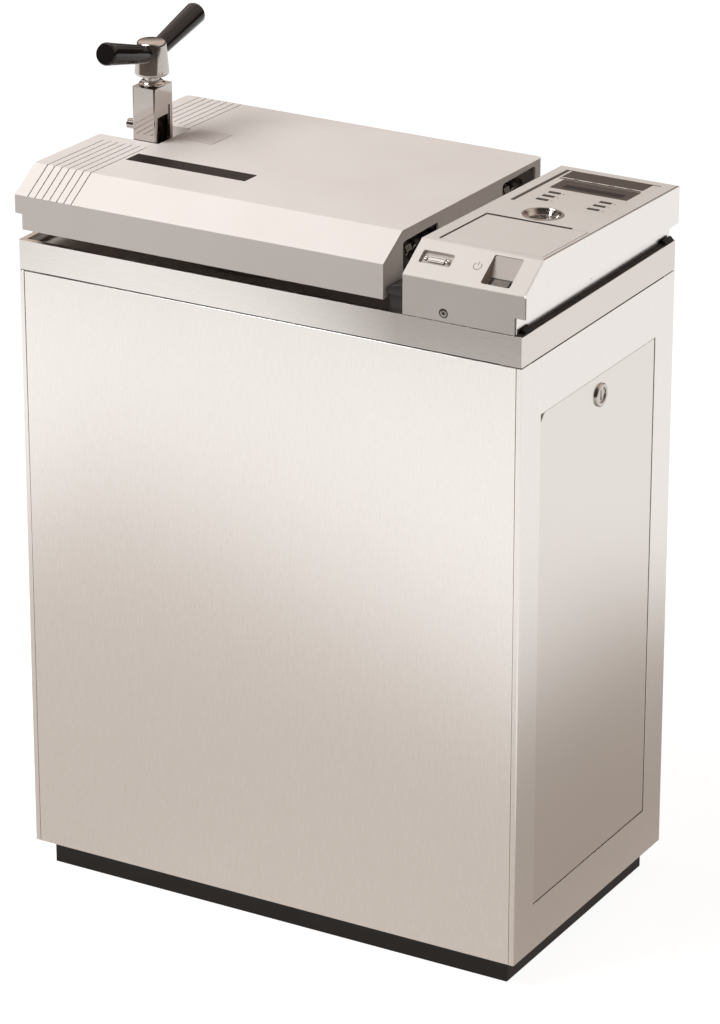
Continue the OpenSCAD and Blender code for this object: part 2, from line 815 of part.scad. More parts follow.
// Port in the rear panel, bored right through, flush with the panel's face
module rear_port(x, r) {
    translate([x, case_y1, z_case + port_rise]) rotate([90, 0, 0]) difference() {
        union() {
            cylinder(r = r + port_t, h = port_l);
            translate([0, 0, sheet_t + fit]) cylinder(r = r + 2 * port_t, h = port_t);
        }
        translate([0, 0, -over]) cylinder(r = r, h = port_l + 2 * over);
    }
}

module drain_port() {
    color("#c5c2be") rear_port(port_x, port_r);
}

module cable_inlet() {
    color("#2a2826") rear_port(inlet_x, inlet_r);
}

// Upright plate that carries the electrics behind the service door
module mounting_plate() {
    z0 = z_case + pan_t;
    foot = angle_leg;
    color("#b4b1ad") {
        block([board_x, -board_w / 2, z0], [board_x + board_t, board_w / 2, z0 + board_h]);
        block([board_x + board_t, -board_w / 2, z0], [board_x + foot, board_w / 2, z0 + board_t]);
    }
}

// Row of terminals on the mounting plate
module terminal_block() {
    x0 = board_x + board_t;
    d = relay_d / 2;
    z0 = z_case + pan_t + board_h * 0.3;
    color("#6f7f6a") difference() {
        block([x0, -board_w * 0.4, z0], [x0 + d, board_w * 0.4, z0 + d]);
        for (i = [-5:5]) translate([x0 + d / 2, i * board_w * 0.07, z0 + d / 2])
            rotate([0, 90, 0]) cylinder(r = d / 5, h = d, $fn = 24);
    }
}

// Power relays on the mounting plate
module power_relays() {
    x0 = board_x + board_t;
    z0 = z_case + pan_t + board_h * 0.6;
    pitch = board_w / (relay_n + 0.5);
    color("#3b3835") for (i = [0:relay_n - 1]) {
        y0 = (i - (relay_n - 1) / 2) * pitch - relay_w / 2;
        block([x0, y0, z0], [x0 + relay_d * 0.6, y0 + relay_w, z0 + relay_h]);
        block([x0 + relay_d * 0.6, y0 + relay_w * 0.15, z0 + relay_h * 0.2],
            [x0 + relay_d, y0 + relay_w * 0.85, z0 + relay_h * 0.8]);
    }
}

// Shape of the lid's side: front face, front slope, top and rear face
module lid_outline(inset) {
    y0 = case_y0 + inset;
    y1 = case_y1 - inset;
    low = z_top + lid_gap - (inset > 0 ? over : 0);
    polygon([[y0, low], [y0, z_top + lid_front_h - inset / 2],
        [case_y0 + lid_slope_d + inset / 4, z_top + lid_crest_h - inset], [y1, z_top + lid_rear_h - inset],
        [y1, low]]);
}

// Moulded cover of the lid: a shell, open below, with its notch, windows and grooves
module lid_cover() {
    z0 = z_top + lid_gap - over;
    z1 = z_top + lid_crest_h + over;
    color("#dedad5") difference() {
        union() {
            lid_shell(z0, z1);
            lid_bosses();
        }
        block([lid_left - over, notch_front, z0 - over], [notch_right, notch_rear, z1]);
        block([lid_left - over, case_y0 - over, z0 - over], [lid_step_x, case_y1 + over, z_top + lid_step_h]);
        block([notch_right - over, clamp_y - bar_w / 2 - seat, z0],
            [notch_right + 2 * cover_t, clamp_y + bar_w / 2 + seat, bar_z + bar_t + cover_t / 2]);
        for (y = [hinge_front_y, hinge_rear_y])
            block([lid_right - 2 * cover_t, y - window_l / 2, window_floor],
                [lid_right + over, y + window_l / 2, window_ceil]);
        lid_grooves();
    }
}

// Outer shape of the lid less its hollow, with walls round the notch
module lid_shell(z0, z1) {
    difference() {
        intersection() {
            side_profile(lid_left, lid_right) lid_outline(0);
            translate([0, 0, z0]) linear_extrude(z1 - z0) lid_plan();
        }
        difference() {
            side_profile(lid_step_x + cover_t, lid_right - cover_t) lid_outline(cover_t);
            block([lid_left, notch_front - cover_t, z0 - over], [notch_right + cover_t, notch_rear + cover_t, z1]);
        }
    }
}

// Bosses that carry the cover on the crossbar and its yoke
module lid_bosses() {
    yoke_x = hinge_x - 2 * knuckle_r - yoke_w;
    places = [[chamber_x - chamber_r / 2, clamp_y], [chamber_x + chamber_r / 2, clamp_y],
        [yoke_x, arm_front_y + yoke_w / 2], [yoke_x, arm_rear_y - yoke_w / 2]];
    intersection() {
        side_profile(lid_left, lid_right) lid_outline(cover_t / 2);
        for (p = places) translate([p[0], p[1], bar_z + bar_t]) cylinder(r = bolt_r * 0.9, h = lid_crest_h);
    }
}

// Plan of the lid, with round rear corners
module lid_plan() {
    difference() {
        translate([lid_left - over, case_y0 - over])
            square([lid_right - lid_left + 2 * over, case_d + 2 * over]);
        for (x = [lid_left, lid_right]) difference() {
            translate([x - lid_corner_r, case_y1 - lid_corner_r]) square(2 * lid_corner_r);
            translate([x == lid_left ? x + lid_corner_r : x - lid_corner_r, case_y1 - lid_corner_r])
                circle(r = lid_corner_r);
        }
    }
}

// Height of the lid's top at a place from front to rear
function lid_top_z(y) = z_top + lid_crest_h
    - (lid_crest_h - lid_rear_h) * (y - case_y0 - lid_slope_d) / (case_d - lid_slope_d);

// Fine grooves over the lid's left end, before and behind the notch
module lid_grooves() {
    crest_y = case_y0 + lid_slope_d;
    stop_y = notch_front - groove_pitch * 1.8;
    z1 = z_top + lid_crest_h + over;
    for (i = [0:groove_n - 1]) {
        x0 = lid_left + groove_x + i * groove_pitch;
        start_y = notch_rear + (groove_n - i - 1.2) * groove_pitch / 2;
        side_profile(x0, x0 + groove_w) polygon([[case_y0 - over, z_top + lid_front_h - groove_d],
            [crest_y, z_top + lid_crest_h - groove_d], [stop_y, lid_top_z(stop_y) - groove_d],
            [stop_y, z1], [case_y0 - over, z1]]);
        side_profile(x0, x0 + groove_w) polygon([[start_y, lid_top_z(start_y) - groove_d],
            [case_y1 + over, lid_top_z(case_y1 + over) - groove_d], [case_y1 + over, z1], [start_y, z1]]);
    }
}

// Bare name strip and bare label, laid on the lid's top
module name_plates() {
    strip_shares = [[0.126, 0.37, 0.195, 0.276], [0.136, 0.206, 0.508, 0.646]];
    color("#2b2624") on_lid_top() for (p = strip_shares)
        block([lid_left + p[0] * case_w, p[2] * (case_d - lid_slope_d), 0],
            [lid_left + p[1] * case_w, p[3] * (case_d - lid_slope_d), plate_t]);
}

// One strap: a knuckle round the shaft, an arm down to the right, a leg and a foot
module hinge_strap(y) {
    drop = strap_reach * tan(strap_angle);
    foot = z_deck - hinge_z;
    half = strap_t / 2;
    side_y = y - strap_w / 2;
    translate([hinge_x, 0, hinge_z]) difference() {
        union() {
            translate([0, side_y, 0]) rotate([-90, 0, 0]) cylinder(r = knuckle_r, h = strap_w);
            front_profile(side_y, side_y + strap_w) polygon([[0, half], [0, -half],
                [strap_reach - strap_t, half - drop - strap_t], [strap_reach - strap_t, foot],
                [strap_reach + 3 * strap_t, foot], [strap_reach + 3 * strap_t, foot + strap_t],
                [strap_reach, foot + strap_t], [strap_reach, half - drop]]);
        }
        translate([0, side_y - over, 0]) rotate([-90, 0, 0])
            cylinder(r = shaft_r + fit, h = strap_w + 2 * over);
        translate([0, side_y + strap_w / 4, 0]) rotate([-90, 0, 0])
            cylinder(r = 2 * knuckle_r, h = strap_w / 2);
    }
}

module hinge_brackets() {
    color("#4d4845") {
        hinge_strap(hinge_front_y);
        hinge_strap(hinge_rear_y);
    }
}

// Shaft of the lid's hinge, through both straps and the lid's arms
module hinge_shaft() {
    y0 = hinge_front_y - window_l / 2;
    y1 = hinge_rear_y + window_l / 2;
    color("#9a9693") translate([hinge_x, y0, hinge_z]) rotate([-90, 0, 0]) cylinder(r = shaft_r, h = y1 - y0);
}

// One step of the spring's wire: its middle, its direction and the way out from the axis
function coil_step(a) = [
    [coil_r * cos(a), coil_pitch * a / 360, coil_r * sin(a)],
    [-sin(a), coil_pitch / (2 * PI * coil_r), cos(a)],
    [cos(a), 0, sin(a)]];

// The bend and straight end that lead the wire along the shaft; side is -1 or 1
function coil_end(side) = let (e = coil_step(side > 0 ? 360 * coil_turns : 0), t = [-e[2][2], 0, e[2][0]])
    concat([for (b = [30:30:90]) [e[0] + side * wire_d * (sin(b) * t + (1 - cos(b)) * [0, 1, 0]),
        cos(b) * t + sin(b) * [0, 1, 0], e[2]]],
        [[e[0] + side * wire_d * t + side * (coil_end_l()) * [0, 1, 0], [0, 1, 0], e[2]]]);
function coil_end_l() = (strap_w / 2 - coil_turns * coil_pitch) / 2 - seat;
function flipped(list) = [for (i = [len(list) - 1:-1:0]) list[i]];

coil_path = concat(flipped(coil_end(-1)), [for (i = [0:8 * coil_turns]) coil_step(45 * i)], coil_end(1));
coil_rings = [for (s = coil_path) let (d = s[1] / norm(s[1]), b = cross(d, s[2]))
    [for (k = [0:5]) s[0] + wire_d / 2 * (cos(60 * k) * s[2] + sin(60 * k) * b)]];
coil_gap = min([for (i = [0:len(coil_path) - 7], j = [i + 6:len(coil_path) - 1])
    norm(coil_path[i][0] - coil_path[j][0])]) - wire_d;
echo(least_gap_of_the_springs_mm = coil_gap);

// Spring round the shaft between the two halves of a strap's knuckle
module torsion_spring(y) {
    rings = len(coil_rings);
    translate([hinge_x, y - coil_turns * coil_pitch / 2, hinge_z])
        polyhedron([for (ring = coil_rings, p = ring) p],
            concat([[for (k = [0:5]) k]], [[for (k = [5:-1:0]) 6 * (rings - 1) + k]],
            [for (i = [0:rings - 2], k = [0:5]) let (m = (k + 1) % 6)
                each [[6 * i + k, 6 * i + 6 + k, 6 * i + 6 + m], [6 * i + k, 6 * i + 6 + m, 6 * i + m]]]));
}

module torsion_springs() {
    color("#5f5a57") {
        torsion_spring(hinge_front_y);
        torsion_spring(hinge_rear_y);
    }
}

// Bar over the pressure lid, with the yoke and arms of the hinge
module lid_crossbar() {
    yoke_x1 = hinge_x - 2 * knuckle_r;
    color("#6b6662") difference() {
        union() {
            block([bar_left, clamp_y - bar_w / 2, bar_z], [yoke_x1, clamp_y + bar_w / 2, bar_z + bar_t]);
            block([yoke_x1 - 2 * yoke_w, arm_front_y, bar_z], [yoke_x1, arm_rear_y, bar_z + bar_t]);
            for (y = [arm_front_y, arm_rear_y - yoke_w]) {
                block([yoke_x1 - over, y, bar_z], [hinge_x, y + yoke_w, bar_z + bar_t]);
                translate([hinge_x, y, hinge_z]) rotate([-90, 0, 0]) cylinder(r = knuckle_r, h = yoke_w);
            }
        }
        translate([hinge_x, arm_front_y - over, hinge_z]) rotate([-90, 0, 0])
            cylinder(r = shaft_r + fit, h = arm_rear_y - arm_front_y + 2 * over);
        translate([clamp_x, clamp_y, bar_z - over]) cylinder(r = spindle_r + fit, h = bar_t + 2 * over);
        translate([chamber_x, clamp_y, bar_z - over]) cylinder(r = bolt_r + fit, h = bar_t + 2 * over);
    }
}

// Pressure lid with a shallow dome and a bored boss for its bolt
module pressure_lid() {
    dome_r = press_r - 2 * gasket_w;
    z1 = z_press + press_t;
    color("#bcb8b3") translate([chamber_x, clamp_y, 0]) difference() {
        union() {
            translate([0, 0, z1]) cylinder(r = 2.2 * bolt_r, h = bar_z - z1);
            rotate_extrude($fn = wide_fn) polygon(concat(
            [[0, z_press + press_t / 2], [dome_r - press_t, z_press + press_t / 2], [dome_r - press_t, z_press],
                [press_r, z_press], [press_r, z_press + press_t]],
            [for (a = [0:15:90]) [dome_r * cos(a), z1 + press_dome * sin(a) * 0.8]]));
        }
        translate([0, 0, bar_z - press_dome]) cylinder(r = bolt_r + fit, h = press_dome + over);
    }
}

// Flat gasket under the pressure lid
module lid_gasket() {
    color("#c9c4bb") translate([chamber_x, clamp_y, z_gasket])
        tube(vessel_r + gasket_w, vessel_r - vessel_t, gasket_t, $fn = wide_fn);
}

// Bolt that carries the pressure lid under the bar, with its nut above
module lid_bolt() {
    z0 = bar_z - press_dome;
    l = press_dome + bar_t;
    color("#8f8b87") translate([chamber_x, clamp_y, z0]) {
        cylinder(r = bolt_r, h = l + bolt_r);
        translate([0, 0, l]) cylinder(r = 1.9 * bolt_r, h = 0.8 * bolt_r, $fn = 6);
    }
}

// Slotted box on the deck that the spindle's cross head passes into and turns under
module clamp_keeper() {
    slot_y = head_l / 2 + keeper_t / 2;
    slot_x = head_w / 2 + 1.5 * keeper_t;
    r = keeper_in;
    color("#5c5855") translate([clamp_x, clamp_y, 0]) difference() {
        block([-r - keeper_t, -r - keeper_t, z_deck], [r + keeper_t, r + keeper_t, keeper_z1]);
        block([-r, -r, z_deck - over], [r, r, keeper_z1 - keeper_t]);
        block([-slot_x, -slot_y, z_deck], [slot_x, slot_y, keeper_z1 + over]);
    }
}

// Chromed post on the bar, with an opening at the foot of its right face
module clamp_post() {
    w = post_w / 2;
    d = post_d / 2;
    z0 = bar_z + bar_t;
    open_z = z_top + lid_crest_h + 0.18 * post_h;
    slot_w = d / 5;
    color("#cfccca") translate([clamp_x, clamp_y, 0]) difference() {
        translate([0, 0, z0]) linear_extrude(z_post - z0) round_plan(w, d, post_edge_r);
        translate([0, 0, z0 - over]) linear_extrude(z_post - post_t - z0 + over)
            round_plan(w - post_t, d - post_t, post_edge_r / 3);
        block([0, post_t - d, z0 - over], [w + over, d - 3 * post_t, open_z]);
        block([0, d - 3 * post_t - slot_w, z0 - over],
            [w + over, d - 3 * post_t, open_z + 2 * slot_w + post_t]);
        translate([0, 0, z_post - post_t - over]) cylinder(r = neck_r + fit, h = post_t + 2 * over);
        translate([-w - over, -1.5 * button_r, z_top + button_h]) rotate([0, 90, 0])
            cylinder(r = button_r + fit, h = post_t + 2 * over);
    }
}

// Rectangle with round corners, given by its half sizes
module round_plan(w, d, r) {
    square([2 * w, 2 * (d - r)], center = true);
    square([2 * (w - r), 2 * d], center = true);
    for (x = [r - w, w - r], y = [r - d, d - r]) translate([x, y]) circle(r = r, $fn = 32);
}

// Outer shape of the hub, which the arms are cut to
module hub_body(grow) {
    translate([0, 0, z_hub]) cylinder(r1 = hub_low_r + grow, r2 = hub_top_r + grow, h = hub_h);
}

// Spindle with its cross head, bearing ring, neck and hub
module clamp_handle() {
    edge = hub_h * 0.06;
    color("#c7c4c1") translate([clamp_x, clamp_y, 0]) difference() {
        union() {
            translate([0, 0, z_head]) cylinder(r = spindle_r, h = z_post - post_t - z_head);
            translate([0, 0, z_head + head_h / 2]) cube([head_w, head_l, head_h], center = true);
            translate([0, 0, z_post - 2 * post_t])
                cylinder(r = neck_r, h = z_hub - z_post + 2 * post_t + over);
            translate([0, 0, z_post + seat]) cylinder(r = ring_r, h = ring_h / 2 - seat);
            translate([0, 0, z_post + ring_h / 2]) cylinder(r = 0.84 * ring_r, h = ring_h / 2);
            translate([0, 0, z_hub]) cylinder(r1 = hub_low_r - edge, r2 = hub_low_r, h = edge);
            intersection() {
                hub_body(0);
                translate([0, 0, z_hub + edge]) cylinder(r = hub_low_r, h = hub_h - 2 * edge);
            }
            translate([0, 0, z_hub + hub_h - edge])
                cylinder(r1 = hub_top_r + edge / 12, r2 = hub_top_r - edge, h = edge);
        }
        for (side = [-1, 1]) arm_axis(side) cylinder(r = arm_root_r / 2 + fit, h = hub_low_r);
    }
}

// The axis of an arm, from the hub's axis outwards; side is -1 to the front, 1 to the rear
module arm_axis(side) {
    translate([0, 0, z_arm]) rotate([-side * (90 - arm_angle), 0, 0]) translate([0, 0, arm_root_r]) children();
}

// Two black arms, each with a stub in the hub
module handle_arms() {
    l = arm_l - arm_root_r;
    edge = arm_end_r / 5;
    color("#1d1a1a") translate([clamp_x, clamp_y, 0]) for (side = [-1, 1]) {
        difference() {
            arm_axis(side) {
                cylinder(r1 = arm_root_r, r2 = arm_end_r, h = l - edge);
                translate([0, 0, l - edge]) cylinder(r1 = arm_end_r, r2 = arm_end_r - edge / 2, h = edge);
            }
            hub_body(fit);
        }
        arm_axis(side) cylinder(r = arm_root_r / 2, h = hub_low_r);
    }
}

// Sprung button that slides in the post's left wall, with its collar inside
module latch_button() {
    x0 = -post_w / 2 - button_proud;
    l = button_proud + post_t + seat;
    color("#b9b6b3") translate([clamp_x, clamp_y - 1.5 * button_r, z_top + button_h]) rotate([0, 90, 0]) {
        translate([0, 0, x0]) cylinder(r = button_r, h = l);
        translate([0, 0, x0 + l]) cylinder(r = 1.2 * button_r, h = post_t / 3);
    }
}

// Block with a sloping top in the gap between the lid and the hood
module gap_block() {
    x1 = hood_left - block_gap;
    y1 = case_y0 + block_l;
    z_nose = z_top + 0.7 * block_left_h;
    color("#2e2a28") {
        front_profile(case_y0 + 2 * sheet_t, y1) polygon([[x1 - block_w, z_nose],
            [x1 - block_w, z_top + block_left_h], [x1, z_top + block_right_h], [x1, z_nose]]);
        block([x1 - block_w, case_y0 + rim_w + seam, z_deck], [x1, y1, z_nose]);
    }
}

// Two rubber clips on the collar's rim beside the hood
module trough_clips() {
    x0 = case_x1 - rim_w + seat;
    color("#171514") for (y = [case_y0 + 1.5 * rim_w, case_y1 - clip_l - 2 * sheet_t])
        front_profile(y, y + clip_l)
            polygon([[x0, z_top], [x0, z_top + clip_h], [x0 + clip_w / 2, z_top + clip_h],
                [x0 + clip_w, z_top + clip_h / 3], [x0 + clip_w, z_top]]);
}

// Shape of the hood's side: front face, front slope, top and rear face
module hood_outline(inset) {
    y0 = case_y0 + inset;
    y1 = case_y1 - inset;
    low = z_top + hood_gap - (inset > 0 ? over : 0);
    polygon([[y0, low], [y0, z_top + hood_front_h - inset / 2],
        [case_y0 + hood_slope_d + inset / 4, z_top + hood_crest_h - inset], [y1, z_top + hood_rear_h - inset],
        [y1, low]]);
}

// Hollow of the switch recess or, grown, the tub round it; drawn up the slope
module recess_space(grow) {
    d = recess_depth + grow;
    low = recess_low - grow;
    high = recess_low + recess_l + grow;
    translate([recess_x - grow, 0, 0]) rotate([90, 0, 90]) linear_extrude(recess_w + 2 * grow)
        polygon([[low, grow > 0 ? 0 : over], [low, -d], [rocker_low + 1.3 * rocker_r + grow, -d],
            [high, -grow - hood_t / 3], [high, grow > 0 ? 0 : over]]);
}

// Moulded hood: a shell, open below, with its recesses, holes and screw bosses
module control_hood() {
    step = z_top + hood_step_h + side_t;
    low = z_top - over;
    w = hood_shell_right - hood_left;
    inner_t = 2 * hood_t / 3;
    color("#dcd8d3") difference() {
        union() {
            difference() {
                side_profile(hood_left, hood_shell_right) hood_outline(0);
                block([hood_step_x - side_t, case_y0 - over, low], [hood_right, case_y1 + over, step]);
                difference() {
                    side_profile(hood_left + hood_t, hood_shell_right - hood_t) hood_outline(hood_t);
                    block([hood_step_x - side_t - hood_t, case_y0, low],
                        [hood_right, case_y1, step + hood_t]);
                }
            }
            block([hood_step_x - side_t, case_y0, z_top + hood_step_h],
                [hood_right, case_y0 + hood_t, z_top + hood_front_h - hood_t]);
            intersection() {
                side_profile(hood_left, hood_shell_right) hood_outline(hood_t / 2);
                for (s = boss_shares) translate([hood_left + s[0] * w, case_y0 + s[1] * case_d, low])
                    cylinder(r = boss_r, h = hood_crest_h + over);
            }
            for (s = boss_shares) translate([hood_left + s[0] * w, case_y0 + s[1] * case_d, z_deck])
                cylinder(r = boss_r, h = deck_drop + hood_t);
            on_hood_slope() {
                recess_space(inner_t);
                block([pocket_x - inner_t, pocket_low - inner_t, -pocket_depth - inner_t],
                    [pocket_x + pocket_w + inner_t, pocket_low + pocket_l + inner_t, -hood_t / 2]);
            }
        }
        on_hood_slope() {
            recess_space(0);
            block([pocket_x, pocket_low, -pocket_depth], [pocket_x + pocket_w, pocket_low + pocket_l, over]);
            block([rocker_x - rocker_w / 2 - rocker_case, rocker_low - rocker_r - rocker_case,
                -2 * recess_depth], [rocker_x + rocker_w / 2 + rocker_case, rocker_low + rocker_r
                + rocker_case, -recess_depth + over]);
        }
        on_hood_top() {
            translate([gauge_x, gauge_back, -2 * hood_t]) cylinder(r = gauge_case_r + fit, h = 3 * hood_t);
            block([flap_right - flap_w - flap_gap, flap_back - flap_gap, -2 * hood_t],
                [flap_right + flap_gap, flap_back + flap_d + flap_gap, over]);
            translate([flap_axis_x, flap_back - flap_gap - flap_pin_l, -hood_t / 2]) rotate([-90, 0, 0])
                cylinder(r = flap_pin_r + fit, h = flap_d + 2 * flap_gap + 2 * flap_pin_l);
            block([foil_x - fit, foil_back - fit, -foil_t],
                [foil_x + foil_w + fit, foil_back + foil_d + fit, over]);
            block([display_x, display_back, -2 * hood_t],
                [display_x + display_w, display_back + display_d, over]);
            for (k = [0:5]) key_hole(k, 2 * hood_t);
        }
        translate([hood_left + screw_x, case_y0 - over, z_top + screw_h]) rotate([-90, 0, 0]) {
            cylinder(r = washer_r + fit, h = over + hood_t / 2);
            cylinder(r = screw_r / 2 + fit, h = over + 2 * hood_t);
        }
    }
}

// Middle of a key on the hood's top; keys 0 to 2 are the left row, 3 to 5 the right row
function key_place(k) = k < 3 ? [key_left_x, key_left_back + k * key_pitch]
    : [key_right_x, key_right_back + (k - 3) * key_pitch];

// Room for a key through the hood's top
module key_hole(k, depth) {
    p = key_place(k);
    block([p[0] - key_l / 2 - key_gap, p[1] - key_w / 2 - key_gap, -depth],
        [p[0] + key_l / 2 + key_gap, p[1] + key_w / 2 + key_gap, over]);
}

// A key: a bar with a round stem below
module key(k) {
    p = key_place(k);
    color("#3a3431") on_hood_top() {
        block([p[0] - key_l / 2, p[1] - key_w / 2, -hood_t], [p[0] + key_l / 2, p[1] + key_w / 2, key_proud]);
        translate([p[0], p[1], -1.5 * hood_t]) cylinder(r = key_w / 3, h = hood_t, $fn = 24);
    }
}

// Steel panel on the hood's right side, stepped in at its foot
module hood_side_panel() {
    x = hood_step_x - side_t;
    z0 = z_top + hood_gap;
    z1 = z_top + hood_step_h;
    y0 = case_y0 + hood_t + fit;
    color("#ccc6c0") difference() {
        union() {
            intersection() {
                side_profile(hood_shell_right, hood_right) hood_outline(0);
                block([x, case_y0 - over, z1], [hood_right, case_y1, z_top + hood_crest_h]);
            }
            block([x, y0, z1], [hood_right, case_y1, z1 + side_t]);
            block([x, y0, z0], [hood_step_x, case_y1, z1 + side_t]);
        }
        block([x - over, case_y0 - over, z0 - over],
            [hood_right + over, y0, z_top + hood_front_h - hood_t + fit]);
        translate([x - over, clamp_y - boss_r * 5, z_top + side_screw_h]) rotate([0, 90, 0])
            cylinder(r = side_screw_r / 2 + fit, h = side_t + 2 * over);
    }
}

// Printed foil in its recess, with the display's window and the keys' holes
module panel_foil() {
    color("#c9c3bc") on_hood_top() difference() {
        block([foil_x, foil_back, -foil_t], [foil_x + foil_w, foil_back + foil_d, 0]);
        block([display_x, display_back, -over], [display_x + display_w, display_back + display_d, over]);
        for (k = [0:5]) key_hole(k, over);
    }
}

// Board under the hood's top, with the display and the keys' switches
module display_module() {
    gap = 2 * key_travel;
    board = -4 * hood_t;
    color("#35302d") on_hood_top() {
        block([display_x + seat, foil_back + hood_t, board - board_t],
            [display_x + display_w - seat, display_back + display_d - seat, board]);
        block([display_x + seat, display_back + seat, board],
            [display_x + display_w - seat, display_back + display_d - seat, -display_drop]);
        for (k = [0:5]) translate([key_place(k)[0], key_place(k)[1], board])
            cylinder(r = key_w / 2, h = -board - 1.5 * hood_t - gap, $fn = 24);
        for (x = [display_x + boss_r, display_x + display_w - boss_r])
            translate([x, foil_back + boss_r, board]) cylinder(r = boss_r / 2, h = -board - hood_t, $fn = 24);
    }
}

// Round gauge sunk into the hood's top, with a rim, a dial and a pin
module pressure_gauge() {
    color("#c2bfbc") on_hood_top() translate([gauge_x, gauge_back, 0]) {
        difference() {
            union() {
                translate([0, 0, -gauge_case_l])
                    cylinder(r = gauge_case_r, h = gauge_case_l + gauge_rim_h / 2);
                cylinder(r = gauge_r, h = gauge_rim_h);
            }
            translate([0, 0, -dial_depth])
                cylinder(r1 = gauge_case_r * 0.8, r2 = gauge_case_r * 0.98,
                    h = dial_depth + gauge_rim_h + fit);
        }
        translate([0, 0, -dial_depth - over]) cylinder(r = gauge_rim_h / 2, h = over + dial_depth / 2, $fn = 24);
    }
}

// Needle that turns on the gauge's pin
module gauge_needle() {
    t = gauge_rim_h / 2;
    color("#191716") on_hood_top() translate([gauge_x, gauge_back, seat - dial_depth]) rotate(needle_zero)
        difference() {
            union() {
                cylinder(r = 3 * t, h = 2 * t, $fn = 32);
                linear_extrude(t) polygon([[-needle_l / 4, -t], [0, -1.5 * t], [needle_l, -t / 3],
                    [needle_l, t / 3], [0, 1.5 * t], [-needle_l / 4, t]]);
            }
            translate([0, 0, -over]) cylinder(r = t + fit, h = 2 * t + 2 * over, $fn = 24);
        }
}

// Flap in the hood's top, hinged on two pins along its right edge
module service_flap() {
    color("#d9d5d0") on_hood_top() {
        block([flap_right - flap_w, flap_back, -flap_t], [flap_axis_x, flap_back + flap_d, 0]);
        translate([flap_axis_x, flap_back, -hood_t / 2]) rotate([-90, 0, 0])
            cylinder(r = flap_t / 2, h = flap_d);
        translate([flap_axis_x, flap_back - flap_gap - flap_pin_l + seat, -hood_t / 2]) rotate([-90, 0, 0])
            cylinder(r = flap_pin_r, h = flap_d + 2 * flap_gap + 2 * flap_pin_l - 2 * seat);
    }
}

// Small printer under the flap, with its paper roll in a trough
module printer_unit() {
    x0 = hood_left + hood_t * 10;
    x1 = x0 + flap_w * 0.86;
    y0 = case_y0 + hood_slope_d + 2 * flap_back;
    y1 = y0 + flap_d * 0.8;
    z1 = z_top + hood_rear_h * 0.87;
    roll_r = (y1 - y0) * 0.27;
    color("#4a4643") {
        difference() {
            block([x0, y0, z_deck], [x1, y1, z1]);
            translate([x0 + hood_t, (y0 + y1) / 2 + roll_r / 2, z1]) rotate([0, 90, 0])
                cylinder(r = roll_r + seat, h = x1 - x0 - 2 * hood_t);
        }
    }
    color("#efece7") translate([x0 + hood_t + seat, (y0 + y1) / 2 + roll_r / 2, z1]) rotate([0, 90, 0])
        intersection() {
            cylinder(r = roll_r, h = x1 - x0 - 2 * hood_t - 2 * seat);
            translate([-0.17 * roll_r, -2 * roll_r, 0]) cube([3 * roll_r, 4 * roll_r, x1 - x0]);
        }
}

// Black case of the switch in the recess's floor, bored for the rocker's pins
module switch_frame() {
    w = rocker_w / 2 + rocker_case - fit;
    d = rocker_r + rocker_case - fit;
    c = rocker_r + seat + fit;
    color("#23201e") on_hood_slope() translate([rocker_x, rocker_low, 0]) difference() {
        union() {
            block([-w, -d, -recess_depth - 2 * rocker_r], [w, d, rocker_axis]);
            block([-w - rocker_lip, -d, -recess_depth], [w + rocker_lip, d, rocker_axis]);
        }
        block([-rocker_w / 2 - seat, -c, rocker_axis - c], [rocker_w / 2 + seat, c, over]);
        translate([-w - over, 0, rocker_axis]) rotate([0, 90, 0])
            cylinder(r = rocker_r / 5 + fit, h = 2 * w + 2 * over, $fn = 32);
    }
}

// Rocker: a drum with a hollowed top, on two pins
module rocker_switch() {
    color("#8d8782") on_hood_slope() translate([rocker_x, rocker_low, rocker_axis])
        rotate([-rocker_throw / 2, 0, 0]) {
            rotate([0, 90, 0]) cylinder(r = rocker_r / 5, h = rocker_w + rocker_case, center = true, $fn = 32);
            difference() {
                rotate([0, 90, 0]) cylinder(r = rocker_r, h = rocker_w, center = true);
                rotate([90, 0, 90]) linear_extrude(2 * rocker_w, center = true)
                    polygon([[-1.2 * rocker_r, 0.75 * rocker_r], [0, 0.45 * rocker_r],
                        [1.2 * rocker_r, 0.75 * rocker_r], [1.2 * rocker_r, 2 * rocker_r],
                        [-1.2 * rocker_r, 2 * rocker_r]]);
            }
        }
}

// Data socket in its pocket: plate, shell and two hexagonal jackscrews
module data_socket() {
    w = jack_pitch / 2 + 1.2 * jack_r;
    d = pocket_l * 0.29;
    h = pocket_depth * 0.8;
    color("#c8c5c2") on_hood_slope()
        translate([pocket_x + pocket_w / 2, pocket_low + pocket_l / 2 - d / 4, -pocket_depth]) difference() {
            union() {
                block([-w, -d, 0], [w, d, h / 4]);
                linear_extrude(h) polygon([[-0.36 * jack_pitch, -0.7 * d], [0.36 * jack_pitch, -0.7 * d],
                    [0.39 * jack_pitch, 0.7 * d], [-0.39 * jack_pitch, 0.7 * d]]);
                for (x = [-jack_pitch / 2, jack_pitch / 2]) translate([x, 0, 0])
                    cylinder(r = jack_r, h = h * 1.1, $fn = 6);
            }
            translate([0, 0, h / 2]) linear_extrude(h) polygon([[-0.33 * jack_pitch, -0.5 * d],
                [0.33 * jack_pitch, -0.5 * d], [0.36 * jack_pitch, 0.5 * d], [-0.36 * jack_pitch, 0.5 * d]]);
            for (x = [-jack_pitch / 2, jack_pitch / 2]) translate([x, 0, h / 2])
                cylinder(r = jack_r / 2, h = h, $fn = 24);
        }
}

